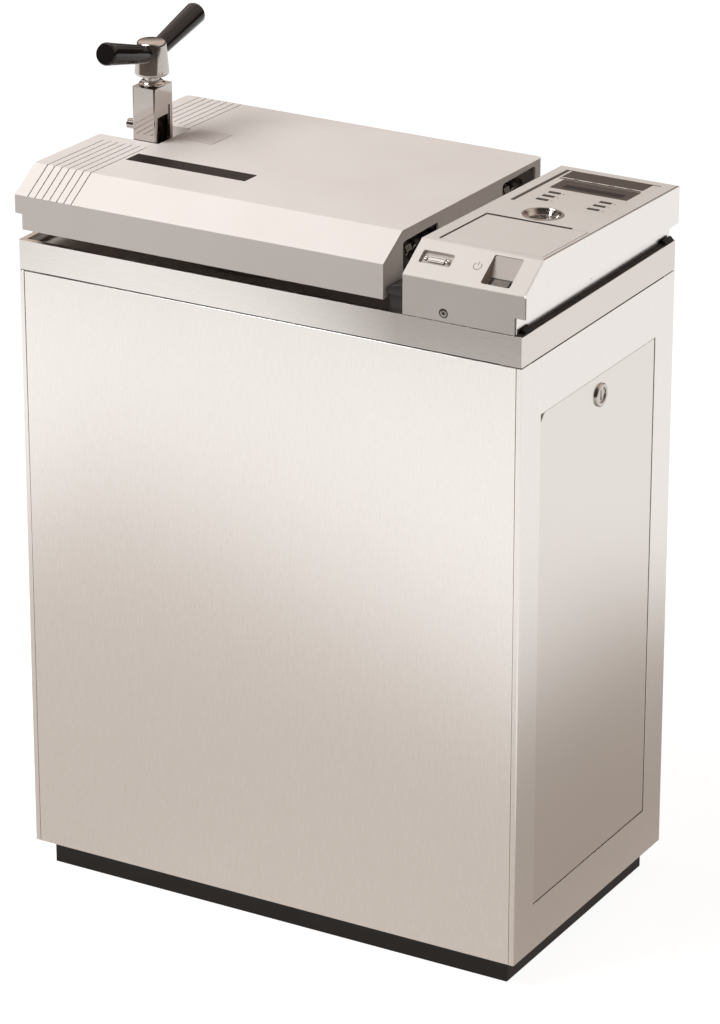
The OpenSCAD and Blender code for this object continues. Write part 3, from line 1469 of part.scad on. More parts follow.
// Socket screw with its washer in the hood's front, and the screw of the side panel
module hood_screws() {
    l = 4 * hood_t;
    color("#3b3836") translate([hood_left + screw_x, case_y0 + fit, z_top + screw_h]) rotate([-90, 0, 0])
        difference() {
            union() {
                translate([0, 0, hood_t / 4]) cylinder(r = washer_r, h = hood_t / 4 - fit);
                cylinder(r = screw_r, h = hood_t / 2 - fit);
                cylinder(r = screw_r / 2, h = l);
            }
            translate([0, 0, -over]) cylinder(r = screw_r / 2 - fit, h = over + hood_t / 3, $fn = 6);
        }
    color("#a8a5a2") translate([hood_step_x, clamp_y - boss_r * 5, z_top + side_screw_h])
        rotate([0, 90, 0]) {
            cylinder(r = side_screw_r, h = side_t / 2);
            translate([0, 0, -side_t]) cylinder(r = side_screw_r / 2, h = side_t + fit);
        }
}

// Door in the right side, hooked at its foot, with the hole for its lock
module service_door() {
    chamfer = 6 * sheet_t;
    hook = lip_w / 2;
    color("#cbc5bf") difference() {
        union() {
            translate([door_x0, 0, 0]) rotate([90, 0, 90]) linear_extrude(sheet_t)
                polygon([[-door_w / 2, door_z0], [door_w / 2, door_z0], [door_w / 2, door_z1],
                    [chamfer - door_w / 2, door_z1], [-door_w / 2, door_z1 - chamfer]]);
            block([lip_x1 - lip_t - 2 * sheet_t, -door_w / 4, door_z0 + lip_w + hook],
                [door_x0, door_w / 4, door_z0 + lip_w + hook + sheet_t]);
        }
        translate([door_x0 - over, lock_y, lock_z]) rotate([0, 90, 0])
            cylinder(r = barrel_r + fit, h = sheet_t + 2 * over);
    }
}

// Lock: collar, barrel with a key slot, and a cam behind the door
module door_lock() {
    slot = barrel_r / 3;
    color("#bfbcba") translate([0, lock_y, lock_z]) difference() {
        union() {
            translate([door_x1, 0, 0]) rotate([0, 90, 0]) cylinder(r = lock_r, h = lock_proud - lock_proud / 3);
            translate([door_x1 + lock_proud - lock_proud / 3, 0, 0]) rotate([0, 90, 0])
                cylinder(r1 = lock_r, r2 = lock_r - lock_proud / 3, h = lock_proud / 3);
            translate([cam_x - sheet_t, 0, 0]) rotate([0, 90, 0])
                cylinder(r = barrel_r, h = door_x1 - cam_x + 2 * sheet_t);
            block([cam_x, -cam_w, -cam_w / 2], [cam_x + 2 * sheet_t, cam_l, cam_w / 2]);
        }
        translate([door_x1 + lock_proud / 3, 0, 0]) rotate([0, 90, 0])
            cylinder(r = barrel_r, h = lock_proud);
        block([door_x1 - 2 * sheet_t, -slot / 2, -barrel_r * 0.7],
            [case_x1 + overhang, slot / 2, barrel_r * 0.7]);
    }
}

plinth();
floor_pan();
front_panel();
left_side_panel();
right_side_panel();
rear_panel();
corner_angles();
collar_seal();
top_collar();
deck_plate();
pressure_vessel();
vessel_flange();
insulation_jacket();
heater_ring();
sieve_plate();
temperature_probe();
drain_valve();
drain_pipe();
safety_valve();
drain_port();
cable_inlet();
mounting_plate();
terminal_block();
power_relays();
hinge_brackets();
hinge_shaft();
torsion_springs();
clamp_keeper();
gap_block();
trough_clips();
control_hood();
hood_side_panel();
panel_foil();
display_module();
pressure_gauge();
gauge_needle();
key(0);  // key_1
key(1);  // key_2
key(2);  // key_3
key(3);  // key_4
key(4);  // key_5
key(5);  // key_6
service_flap();
printer_unit();
data_socket();
switch_frame();
rocker_switch();
hood_screws();
lid_cover();
name_plates();
lid_crossbar();
pressure_lid();
lid_gasket();
lid_bolt();
clamp_post();
clamp_handle();
handle_arms();
latch_button();
service_door();
door_lock();
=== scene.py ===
import math

import bmesh
import bpy
from mathutils import Matrix, Vector


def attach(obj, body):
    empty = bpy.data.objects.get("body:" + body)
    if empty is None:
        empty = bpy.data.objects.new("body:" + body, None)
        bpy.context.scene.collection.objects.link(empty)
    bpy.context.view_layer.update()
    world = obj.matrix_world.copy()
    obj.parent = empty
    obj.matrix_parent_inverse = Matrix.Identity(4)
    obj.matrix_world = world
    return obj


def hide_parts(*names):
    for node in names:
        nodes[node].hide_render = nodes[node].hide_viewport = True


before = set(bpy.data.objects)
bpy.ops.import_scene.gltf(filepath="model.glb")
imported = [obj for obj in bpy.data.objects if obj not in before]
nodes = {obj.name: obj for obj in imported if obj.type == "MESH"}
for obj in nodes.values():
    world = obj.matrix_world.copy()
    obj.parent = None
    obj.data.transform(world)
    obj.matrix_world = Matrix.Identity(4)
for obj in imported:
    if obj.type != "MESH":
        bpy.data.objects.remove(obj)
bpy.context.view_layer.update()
print("frame loaded:", len(nodes), "nodes")

mm = 0.001
xAxis, yAxis, zAxis = Vector((1, 0, 0)), Vector((0, 1, 0)), Vector((0, 0, 1))


# materials

def linear(code):
    channels = [int(code[i:i + 2], 16) / 255 for i in (1, 3, 5)]
    return [c / 12.92 if c <= 0.04045 else ((c + 0.055) / 1.055) ** 2.4 for c in channels] + [1.0]


def addNode(tree, kind, values=None, links=None, **settings):
    node = tree.nodes.new(kind)
    for key, value in settings.items():
        setattr(node, key, value)
    for socket, value in (values or {}).items():
        node.inputs[socket].default_value = value
    for socket, source in (links or {}).items():
        tree.links.new(source, node.inputs[socket])
    return node


def newMaterial(name, values):
    # a shader with its uniform values, the place that its pattern is read from, and its tree
    material = bpy.data.materials.new(name)
    material.use_nodes = True
    tree = material.node_tree
    shader = tree.nodes["Principled BSDF"]
    for socket, value in values.items():
        shader.inputs[socket].default_value = linear(value) if isinstance(value, str) else value
    place = addNode(tree, "ShaderNodeTexCoord").outputs["Object"]
    return material, tree, shader, place


def brushedSteel(name, look, grain):
    # stainless sheet, brushed one way: a satin sheen with fine streaks along the grain
    material, tree, shader, place = newMaterial(name, {"Base Color": look["colour"], "Metallic": 1.0,
                                                       "Roughness": look["roughness"]})
    stretch = [1000 / look["streakWidth"]] * 3
    stretch["XYZ".index(grain)] = 1000 / look["streakLength"]
    spread = addNode(tree, "ShaderNodeMapping", {"Scale": stretch}, {"Vector": place})
    streaks = addNode(tree, "ShaderNodeTexNoise", {"Scale": 1.0, "Detail": 3.0, "Roughness": 0.6},
                      {"Vector": spread.outputs[0]})
    clouds = addNode(tree, "ShaderNodeTexNoise", {"Scale": 1000 / look["cloud"], "Detail": 2.0},
                     {"Vector": place})
    both = addNode(tree, "ShaderNodeMath", {1: look["cloudShare"]},
                   {0: clouds.outputs["Fac"], 2: streaks.outputs["Fac"]}, operation="MULTIPLY_ADD")
    rough = addNode(tree, "ShaderNodeMapRange", {"From Min": 0.35, "From Max": 1.0,
                                                 "To Min": look["roughness"] - look["roughSpread"],
                                                 "To Max": look["roughness"] + look["roughSpread"]},
                    {"Value": both.outputs[0]})
    tree.links.new(rough.outputs[0], shader.inputs["Roughness"])
    tone = addNode(tree, "ShaderNodeMapRange", {"From Min": 0.3, "From Max": 0.7},
                   {"Value": streaks.outputs["Fac"]})
    colour = addNode(tree, "ShaderNodeMix", {6: linear(look["darker"]), 7: linear(look["colour"])},
                     {0: tone.outputs[0]}, data_type="RGBA")
    tree.links.new(colour.outputs[2], shader.inputs["Base Color"])
    bump = addNode(tree, "ShaderNodeBump", {"Strength": look["bump"], "Distance": 0.00005},
                   {"Height": streaks.outputs["Fac"]})
    tree.links.new(bump.outputs[0], shader.inputs["Normal"])
    if "bow" in look:
        bowFace(tree, place, bump, look["bow"])
    return material


def bowFace(tree, place, fineBump, bow):
    # a slight twist along the sheet: its face leans back with the square of the way from the bright place
    spot = addNode(tree, "ShaderNodeSeparateXYZ", {}, {0: place})
    away = addNode(tree, "ShaderNodeMath", {1: bow["perLength"], 2: -bow["perLength"] * bow["brightX"]},
                   {0: spot.outputs["X"]}, operation="MULTIPLY_ADD")
    square = addNode(tree, "ShaderNodeMath", {}, {0: away.outputs[0], 1: away.outputs[0]},
                     operation="MULTIPLY")
    held = addNode(tree, "ShaderNodeMath", {1: bow["most"]}, {0: square.outputs[0]}, operation="MINIMUM")
    lean = addNode(tree, "ShaderNodeMath", {1: -bow["tilt"], 2: bow["tilt"] * bow["middleZ"]},
                   {0: spot.outputs["Z"]}, operation="MULTIPLY_ADD")
    height = addNode(tree, "ShaderNodeMath", {}, {0: held.outputs[0], 1: lean.outputs[0]},
                     operation="MULTIPLY")
    bent = addNode(tree, "ShaderNodeBump", {"Strength": 1.0, "Distance": 1.0},
                   {"Height": height.outputs[0]})
    tree.links.new(bent.outputs[0], fineBump.inputs["Normal"])


def mouldedPlastic(name, look):
    # moulded plastic: an even satin face with a fine eroded texture and the faintest uneven tone
    material, tree, shader, place = newMaterial(name, {"Base Color": look["colour"],
                                                       "Roughness": look["roughness"],
                                                       "IOR": look.get("ior", 1.5)})
    grain = addNode(tree, "ShaderNodeTexNoise", {"Scale": 1000 / look["grain"], "Detail": 2.0,
                                                 "Roughness": 0.6}, {"Vector": place})
    clouds = addNode(tree, "ShaderNodeTexNoise", {"Scale": 1000 / look["cloud"], "Detail": 3.0},
                     {"Vector": place})
    tone = addNode(tree, "ShaderNodeMapRange", {"From Min": 0.35, "From Max": 0.65},
                   {"Value": clouds.outputs["Fac"]})
    colour = addNode(tree, "ShaderNodeMix", {6: linear(look["darker"]), 7: linear(look["colour"])},
                     {0: tone.outputs[0]}, data_type="RGBA")
    tree.links.new(colour.outputs[2], shader.inputs["Base Color"])
    roughSpread = 0.04
    rough = addNode(tree, "ShaderNodeMapRange", {"From Min": 0.3, "From Max": 0.7,
                                                 "To Min": look["roughness"] - roughSpread,
                                                 "To Max": look["roughness"] + roughSpread},
                    {"Value": clouds.outputs["Fac"]})
    tree.links.new(rough.outputs[0], shader.inputs["Roughness"])
    bump = addNode(tree, "ShaderNodeBump", {"Strength": look["bump"], "Distance": 0.0001},
                   {"Height": grain.outputs["Fac"]})
    tree.links.new(bump.outputs[0], shader.inputs["Normal"])
    return material


def polishedMetal(name, look):
    # plated or machined metal: a clear mirror that only faint wiping marks break
    material, tree, shader, place = newMaterial(name, {"Base Color": look["colour"], "Metallic": 1.0,
                                                       "Roughness": look["roughness"]})
    wipes = addNode(tree, "ShaderNodeTexNoise", {"Scale": 1000 / look["wipe"], "Detail": 4.0,
                                                 "Distortion": 1.5}, {"Vector": place})
    rough = addNode(tree, "ShaderNodeMapRange", {"From Min": 0.4, "From Max": 0.75,
                                                 "To Min": look["roughness"],
                                                 "To Max": look["roughness"] + look["smear"]},
                    {"Value": wipes.outputs["Fac"]})
    tree.links.new(rough.outputs[0], shader.inputs["Roughness"])
    return material


# lengths in a look are millimetres; the brushing's streaks and the moulding's grain are too fine to show,
# so they are drawn coarser than real
steelLook = {"colour": "#f6f3f1", "darker": "#ede8e4", "roughness": 0.23, "roughSpread": 0.02,
             "streakWidth": 0.6, "streakLength": 9, "cloud": 180, "cloudShare": 0.35, "bump": 0.04}
innerLook = dict(steelLook, colour="#c9c5c1", darker="#bcb8b4", roughness=0.38, bump=0.15)
mouldLook = {"colour": "#e4dedb", "darker": "#e0dad6", "roughness": 0.46, "grain": 0.9, "cloud": 160,
             "bump": 0.12}

# collar, brushed lengthwise: a band a little deeper in tone than the panels
steelAlong = brushedSteel("brushedStainlessAlong", dict(steelLook, colour="#e3dcd7", darker="#dcd5cf"), "X")
# hood's side, brushed from front to rear: the palest steel
steelDeep = brushedSteel("brushedStainlessDeep", steelLook, "Y")
# collar's front, a little twisted along its length: its sheen falls off to the right
collarBow = {"brightX": -0.19, "perLength": 5.0, "most": 4.0, "middleZ": 0.955, "tilt": 0.02}
steelBowed = brushedSteel("brushedStainlessBowed", dict(steelLook, bow=collarBow), "X")
# casing sheets and door, brushed upright: soft vertical streaks, the door slightly greyer
steelSide = brushedSteel("brushedStainlessSide", dict(steelLook, colour="#f3efec", darker="#eae5e0"), "Z")
steelDoor = brushedSteel("brushedStainlessDoor", dict(steelLook, colour="#ebe6e2", darker="#e2dcd7"), "Z")
steelUp = brushedSteel("brushedStainlessUp", steelLook, "Z")
# sheet and tube as rolled: dull, greyer steel inside the casing
millSteel = brushedSteel("millFinishedStainless", innerLook, "Z")

# stoving paint on the deck: an even pale grey without sparkle
deckGrey = mouldedPlastic("satinDeckPaint", dict(mouldLook, colour="#dbd4cd", darker="#d3ccc5"))
# moulded ABS of lid and hood: warm pale grey with a fine eroded grain
mouldedGrey = mouldedPlastic("mouldedAbsWarmGrey", mouldLook)
hoodGrey = mouldedPlastic("mouldedAbsDeeperGrey", dict(mouldLook, colour="#d7d2cd", darker="#d3cec9"))
# the same ABS painted darker as painted shade: on the floors of the lid's grooves and inside the hood's
# recesses
grooveShadeGrey = mouldedPlastic("paintedGrooveShade", dict(mouldLook, colour="#6d6661", darker="#5c5651"))
recessShadeGrey = mouldedPlastic("paintedRecessShade", dict(mouldLook, colour="#b3aaa3", darker="#ada49d"))
# tinned flange of the socket and its recess walls: a flat mid grey, darkened as painted shade of the recess
flangeShadeGrey = mouldedPlastic("socketFlangePaintedShade", dict(mouldLook, colour="#a39b94", darker="#9d958e"))
# polyester foil, printed from behind: smoother and a touch glossier than the moulding
panelPrint = mouldedPlastic("printedPolyesterFoil", dict(
    mouldLook, colour="#d9d2cc", darker="#d5cec8", roughness=0.36, grain=0.4, bump=0.05))
# screen-printed inks: thin, even and half matt
inkDark = mouldedPlastic("screenPrintedInk", dict(
    mouldLook, colour="#4f4640", darker="#49403b", roughness=0.42, bump=0.03, ior=1.3))
inkBlack = mouldedPlastic("screenPrintedBlackInk", dict(
    mouldLook, colour="#241d1b", darker="#1f1917", roughness=0.4, bump=0.03, ior=1.25))
inkPale = mouldedPlastic("screenPrintedPaleInk", dict(
    mouldLook, colour="#e4dfd9", darker="#dcd7d1", roughness=0.4, bump=0.03))
inkGrey = mouldedPlastic("screenPrintedGreyInk", dict(
    mouldLook, colour="#8b837c", darker="#837b74", roughness=0.4, bump=0.03))
# bare vinyl label: a pale patch, only just seen on the lid
labelSilver = mouldedPlastic("bareSilverLabel", dict(
    mouldLook, colour="#d6d0cc", darker="#d1cbc6", roughness=0.35, bump=0.03))
# gauge's lacquered dial and its printed marks, painted dark as the shade deep in the cup: near black, with
# quiet grey lines
shadedDialMark = mouldedPlastic("printedDialMarksInPaintedShade", dict(mouldLook, colour="#6f6761", darker="#69615b"))
dialShadeGrey = mouldedPlastic("lacqueredDialInPaintedShade", dict(
    mouldLook, colour="#2a2522", darker="#26211e", roughness=0.4, bump=0.02))
# powder coat on the plinth: black with a slight orange peel
blackPowder = mouldedPlastic("blackPowderCoat", {"colour": "#2b2725", "darker": "#242120",
                                                 "roughness": 0.5, "grain": 0.7, "cloud": 60, "bump": 0.35})
# extruded rubber: dull, soft black that swallows highlights
blackRubber = mouldedPlastic("blackSealRubber", {"colour": "#232020", "darker": "#1c1a19",
                                                 "roughness": 0.62, "grain": 0.5, "cloud": 30, "bump": 0.3})
# moulded nylon of keys and small housings: black with a satin shine
blackPlastic = mouldedPlastic("mouldedBlackPlastic", {"colour": "#33302d", "darker": "#2b2826",
                                                      "roughness": 0.4, "grain": 0.6, "cloud": 40,
                                                      "bump": 0.2})
# painted cast iron of the hinge work: brown-black and a little rough
darkIron = mouldedPlastic("darkPaintedIron", {"colour": "#4b4541", "darker": "#3c3733",
                                              "roughness": 0.42, "grain": 1.2, "cloud": 30, "bump": 0.3})
# pressed phenolic of the arms: deep black with sharp long highlights
blackPhenolic = mouldedPlastic("blackPhenolicGloss", {"colour": "#1e1a19", "darker": "#191615", "ior": 1.42,
                                                      "roughness": 0.1, "grain": 2.0, "cloud": 40,
                                                      "bump": 0.02})
# polished moulding of the rocker: mid grey that catches the light
rockerGrey = mouldedPlastic("mouldedRockerGrey", {"colour": "#77706a", "darker": "#6f6862",
                                                  "roughness": 0.25, "grain": 0.8, "cloud": 12,
                                                  "bump": 0.05})
# mineral wool in a woven facing: matt yellow-grey with a coarse nap
mineralWool = mouldedPlastic("facedMineralWool", {"colour": "#c9c09c", "darker": "#b5ab86",
                                                  "roughness": 0.9, "grain": 4, "cloud": 25, "bump": 1.0})
# melamine terminals: flat grey-green
terminalGreen = mouldedPlastic("mouldedTerminalGreen", {"colour": "#7f8f78", "darker": "#748370",
                                                        "roughness": 0.45, "grain": 0.8, "cloud": 20,
                                                        "bump": 0.1})
# moulded silicone of the lid's gasket: cream with a dull bloom
gasketRubber = mouldedPlastic("siliconeGasket", {"colour": "#d8d2c6", "darker": "#cdc6ba",
                                                 "roughness": 0.55, "grain": 0.9, "cloud": 40, "bump": 0.2})
# polished chrome plate: a dark and bright mirror
chrome = polishedMetal("polishedChromePlate", {"colour": "#c4beb9", "roughness": 0.06, "smear": 0.07,
                                               "wipe": 14})
# ground, plated steel: a blurred mirror
groundSteel = polishedMetal("groundPlatedSteel", {"colour": "#a7a29d", "roughness": 0.24, "smear": 0.12,
                                                  "wipe": 8})
# machined brass of the valves: soft yellow gleam
brass = polishedMetal("machinedBrass", {"colour": "#d8b777", "roughness": 0.3, "smear": 0.12, "wipe": 10})
print("materials made")


# mesh helpers: lengths in millimetres, angles in degrees

meshing = {"sharpAngle": 32, "roundAngle": 28, "flatAngle": 0.6, "wideFace": 400, "weld": 0.01}


def at(x, y, z=0.0):
    return Matrix.Translation((x * mm, y * mm, z * mm))


def middle(edge):
    return (edge.verts[0].co + edge.verts[1].co) / 2 / mm


def centre(face, place=None):
    # the middle of a face, in the place's own axes where one is given
    spot = face.calc_center_median()
    return (place.inverted() @ spot if place else spot) / mm


def lengthOf(edge):
    return edge.calc_length() / mm


def along(edge, axis, limit=0.97):
    direction = edge.verts[1].co - edge.verts[0].co
    return direction.length > 0 and abs(direction.normalized().dot(axis)) > limit


def between(value, limits):
    return limits[0] < value < limits[1]


def finishMesh(shape, name, material, body, extra=()):
    mesh = bpy.data.meshes.new(name)
    shape.normal_update()
    shape.to_mesh(mesh)
    shape.free()
    for polygon in mesh.polygons:
        polygon.use_smooth = True
    mesh.set_sharp_from_angle(angle=math.radians(meshing["sharpAngle"]))
    for polygon in mesh.polygons:
        polygon.use_smooth = polygon.area < meshing["wideFace"] * mm * mm  # wide faces stay flat
    piece = bpy.data.objects.new(name, mesh)
    bpy.context.scene.collection.objects.link(piece)
    for finish in (material, *extra):
        mesh.materials.append(finish)
    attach(piece, body)
    return piece


def roundEdges(shape, width, segments, test=None):
    # rounds the sharp edges that the test picks
    picked = [edge for edge in shape.edges if len(edge.link_faces) == 2
              and edge.calc_face_angle(0.0) > math.radians(meshing["roundAngle"])
              and (test is None or test(edge))]
    if picked:
        bmesh.ops.bevel(shape, geom=picked, offset=width * mm, segments=segments, profile=0.5, affect="EDGES",
                        clamp_overlap=True)


def cleanCopy(nodeName):
    shape = bmesh.new()
    shape.from_mesh(nodes[nodeName].data)
    shape.transform(nodes[nodeName].matrix_world)
    bmesh.ops.remove_doubles(shape, verts=shape.verts, dist=meshing["weld"] * mm)
    bmesh.ops.dissolve_limit(shape, angle_limit=math.radians(meshing["flatAngle"]), verts=shape.verts,
                             edges=shape.edges)
    return shape


def dress(nodeName, material, body, rounds, extra=(), paint=None):
    # the CAD node's own shape with softened edges, shown in its place: a round is (width, segments, test),
    # and paint gives a face the number of its finish
    shape = cleanCopy(nodeName)
    for width, segments, test in rounds:
        roundEdges(shape, width, segments, test)
    if paint:
        shape.normal_update()
        for face in shape.faces:
            face.material_index = paint(face)
    piece = finishMesh(shape, nodeName + "Dressed", material, body, extra)
    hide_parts(nodeName)


def lathe(shape, profile, matrix, steps=64):
    # turns a profile of (radius, height) points round the local z
    rings = []
    for radius, height in profile:
        if radius == 0:
            rings.append([shape.verts.new(matrix @ Vector((0, 0, height * mm)))] * steps)
            continue
        turns = [2 * math.pi * i / steps for i in range(steps)]
        rings.append([shape.verts.new(matrix @ Vector((radius * mm * math.cos(turn),
                                                       radius * mm * math.sin(turn), height * mm)))
                      for turn in turns])
    for low, high in zip(rings, rings[1:]):
        for i in range(steps):
            corners = []
            for vertex in (low[i], low[(i + 1) % steps], high[(i + 1) % steps], high[i]):
                if vertex not in corners:
                    corners.append(vertex)
            if len(corners) > 2:
                shape.faces.new(corners)


def prism(shape, outline, heights, matrix):
    # a flat piece from an outline, between two local heights
    bottom, top = [[shape.verts.new(matrix @ Vector((x * mm, y * mm, height * mm))) for x, y in outline]
                   for height in heights]
    shape.faces.new(list(reversed(bottom)))
    shape.faces.new(top)
    for i in range(len(outline)):
        j = (i + 1) % len(outline)
        shape.faces.new((bottom[i], bottom[j], top[j], top[i]))


def bar(x0, y0, x1, y1):
    return [(x0, y0), (x1, y0), (x1, y1), (x0, y1)]


def roundedBox(x0, y0, x1, y1, radius, steps=5):
    points = []
    for cx, cy, start in ((x1 - radius, y0 + radius, -90), (x1 - radius, y1 - radius, 0),
                          (x0 + radius, y1 - radius, 90), (x0 + radius, y0 + radius, 180)):
        for i in range(steps + 1):
            angle = math.radians(start + 90 * i / steps)
            points.append((cx + radius * math.cos(angle), cy + radius * math.sin(angle)))
    return points


def printMarks(name, marks, matrix, material, heights=(0.02, 0.09)):
    shape = bmesh.new()
    for outline in marks:
        prism(shape, outline, heights, matrix)
    finishMesh(shape, name, material, "root")


# casing, collar and deck

casing = {"halfWidth": 400, "halfDepth": 229, "near": 2, "foldRound": 1.6, "sheetRound": 0.4,
          "collarRound": 2.2, "rimRound": 0.7, "rimLow": 950, "facing": 0.9, "plinthRound": 1.2,
          "rearRound": 0.3, "sealRound": 0.3, "doorRound": 0.35, "deckRound": 0.3, "clipRound": 0.8,
          "blockRound": 1.0}


def isCorner(edge):
    # the upright edges at the casing's four corners
    spot = middle(edge)
    return along(edge, zAxis) and abs(abs(spot.x) - casing["halfWidth"]) < casing["near"] \
        and abs(abs(spot.y) - casing["halfDepth"]) < casing["near"]


def isRim(edge):
    return not isCorner(edge) and middle(edge).z > casing["rimLow"]


sheetRounds = [(casing["foldRound"], 4, isCorner), (casing["sheetRound"], 2, lambda edge: not isCorner(edge))]
dress("plinth", blackPowder, "root", [(casing["plinthRound"], 3, None)])
dress("front_panel", steelUp, "root", [(casing["sheetRound"], 2, None)])
dress("left_side_panel", steelUp, "root", sheetRounds)
dress("right_side_panel", steelSide, "root", sheetRounds)
dress("rear_panel", steelUp, "root", [(casing["rearRound"], 2, None)])
dress("top_collar", steelAlong, "root",
      [(casing["collarRound"], 5, isCorner), (casing["rimRound"], 3, isRim)],
      extra=(steelBowed,), paint=lambda face: 1 if face.normal.y < -casing["facing"] else 0)
dress("collar_seal", blackRubber, "root", [(casing["sealRound"], 2, None)])
dress("service_door", steelDoor, "door", [(casing["doorRound"], 2, None)])
dress("deck_plate", deckGrey, "root", [(casing["deckRound"], 2, None)])
dress("trough_clips", blackRubber, "root", [(casing["clipRound"], 3, None)])
dress("gap_block", blackPlastic, "root", [(casing["blockRound"], 3, None)])
print("casing dressed")

# door lock: bevelled collar, cup, barrel and key slot
lock = {"round": 0.5, "outerX": 398}
dress("door_lock", chrome, "lock",
      [(lock["round"], 3, lambda edge: middle(edge).x > lock["outerX"])])

# control hood: its two tilted faces carry what is measured from its left edge, x to the right, v up the face
hood = {"left": 218, "frontY": -229, "frontZ": 1035.2, "crestY": -175.4, "crestZ": 1070.2,
        "slopeAngle": 33.145, "topAngle": -1.9106, "near": 2, "foldLow": 1030, "crestLow": 1069.5,
        "pocketsX": (225, 385), "pocketsRear": -178, "pocketAlong": 0.93,
        "switchFloor": (113.5, 158.5, 7.8, 59.0, -0.4), "socketFloor": (-10, 60, 22, 45, -4.5),
        "recessRound": 3.0, "crestRound": 1.4, "edgeRound": 0.5, "edgeAngle": 50, "sideRound": 0.3,
        "flapRound": 0.2, "keyRound": 0.35, "frameRound": 0.3, "rockerRound": 0.4, "screwRound": 0.25,
        "screwFrontY": -228.7, "screwFacing": 0.5}
hoodTop = at(hood["left"], hood["crestY"], hood["crestZ"]) \
    @ Matrix.Rotation(math.radians(hood["topAngle"]), 4, "X")
hoodSlope = at(hood["left"], hood["frontY"], hood["frontZ"]) \
    @ Matrix.Rotation(math.radians(hood["slopeAngle"]), 4, "X")
slopeNormal = (hoodSlope.to_3x3() @ zAxis).normalized()


def isPocketCorner(edge):
    # the short edges that run down into the socket's and the switch's recess
    spot = middle(edge)
    return along(edge, slopeNormal, hood["pocketAlong"]) and spot.y < hood["pocketsRear"] \
        and between(spot.x, hood["pocketsX"])


def isHoodCrest(edge):
    # the two long folds, above the front and at the foot of the top
    spot = middle(edge)
    onFront = abs(spot.y - hood["frontY"]) < hood["near"]
    onCrest = abs(spot.y - hood["crestY"]) < hood["near"] and spot.z > hood["crestLow"]
    return along(edge, xAxis) and spot.z > hood["foldLow"] and (onFront or onCrest)


def isHoodEdge(edge):
    return not isHoodCrest(edge) and not isPocketCorner(edge) \
        and edge.calc_face_angle(0.0) > math.radians(hood["edgeAngle"])


def inRecess(face):
    # the recesses' faces get a painted shade, a little darker than the hood
    spot = centre(face, hoodSlope)
    for x0, x1, v0, v1, floor in (hood["switchFloor"], hood["socketFloor"]):
        if between(spot.x, (x0, x1)) and between(spot.y, (v0, v1)) and spot.z < floor:
            return 1
    return 0


dress("control_hood", hoodGrey, "root",
      [(hood["recessRound"], 5, isPocketCorner), (hood["crestRound"], 4, isHoodCrest),
       (hood["edgeRound"], 2, isHoodEdge)], extra=(recessShadeGrey,), paint=inRecess)
dress("hood_side_panel", steelDeep, "root", [(hood["sideRound"], 2, None)])
dress("service_flap", hoodGrey, "flap", [(hood["flapRound"], 2, None)])
dress("panel_foil", panelPrint, "root", [])
for i in range(1, 7):
    dress("key_%d" % i, blackPlastic, "key_body_%d" % i, [(hood["keyRound"], 3, None)])
dress("switch_frame", blackPlastic, "root", [(hood["frameRound"], 2, None)])
dress("rocker_switch", rockerGrey, "rocker", [(hood["rockerRound"], 3, None)])

# data socket
socket = {"x": 36, "shellHalf": 13, "wallTop": -2.1, "wellTop": -1.95, "round": 0.2,
          "insert": (24.6, 31.2, 47.4, 35.2, 1.0), "insertHeights": (-3.2, -1.05)}


def socketPart(face):
    # flange and walls in grey painted shade, pale shell, bright jackscrews
    spot = centre(face, hoodSlope)
    onShell = abs(spot.x - socket["x"]) < socket["shellHalf"]
    if spot.z < socket["wallTop"] or (spot.z < socket["wellTop"] and onShell):
        return 0
    return 1 if onShell else 2


def isScrewFront(face):
    return 1 if centre(face).y < hood["screwFrontY"] and face.normal.y < -hood["screwFacing"] else 0


dress("data_socket", flangeShadeGrey, "root", [(socket["round"], 2, None)],
      extra=(mouldedGrey, chrome), paint=socketPart)
dress("hood_screws", darkIron, "root", [(hood["screwRound"], 2, None)],
      extra=(groundSteel,), paint=isScrewFront)
print("hood dressed")

# printed foil: dark bar, line and field, a light row with four ticks across it
foil = {"leftBar": (16.2, 219.4, 22.4, 389.4), "rearLine": (21.6, 387.2, 164.6, 389.4),
        "rearField": (26.0, 346.4, 153.0, 387.2), "lightRow": (24.0, 351.2, 160.5, 354.0),
        "tickX": (50.6, 79.4, 105.7, 134.4), "tickHalf": 4.2, "tickV": (350.0, 355.4), "tickRound": 2.4,
        "rowHeights": (0.1, 0.16), "tickHeights": (0.17, 0.22)}
printMarks("foilDarkField", [bar(*foil[part]) for part in ("leftBar", "rearLine", "rearField")], hoodTop,
           inkDark)
printMarks("foilLightRow", [bar(*foil["lightRow"])], hoodTop, inkPale, foil["rowHeights"])
printMarks("foilTicks", [roundedBox(x - foil["tickHalf"], foil["tickV"][0], x + foil["tickHalf"],
                                    foil["tickV"][1], foil["tickRound"]) for x in foil["tickX"]],
           hoodTop, inkGrey, foil["tickHeights"])

# small plain arrows beside the keys
arrow = {"rows": ((69, (243, 261.5, 280)), (150, (239, 257.5, 276))), "tail": 2.2, "tip": 2.4, "half": 1.6}
arrows = [[(x - arrow["tail"], v - arrow["half"]), (x + arrow["tip"], v),
           (x - arrow["tail"], v + arrow["half"])] for x, places in arrow["rows"] for v in places]
printMarks("foilKeyMarks", arrows, hoodTop, inkGrey)

# rubber strip along the trough
trough = {"outline": (390.4, -226.0, 398.2, 226.5, 1.0), "heights": (977.02, 977.9), "round": 0.3}
shape = bmesh.new()
prism(shape, roundedBox(*trough["outline"]), trough["heights"], Matrix.Identity(4))
roundEdges(shape, trough["round"], 2)
finishMesh(shape, "troughStrip", blackRubber, "root")
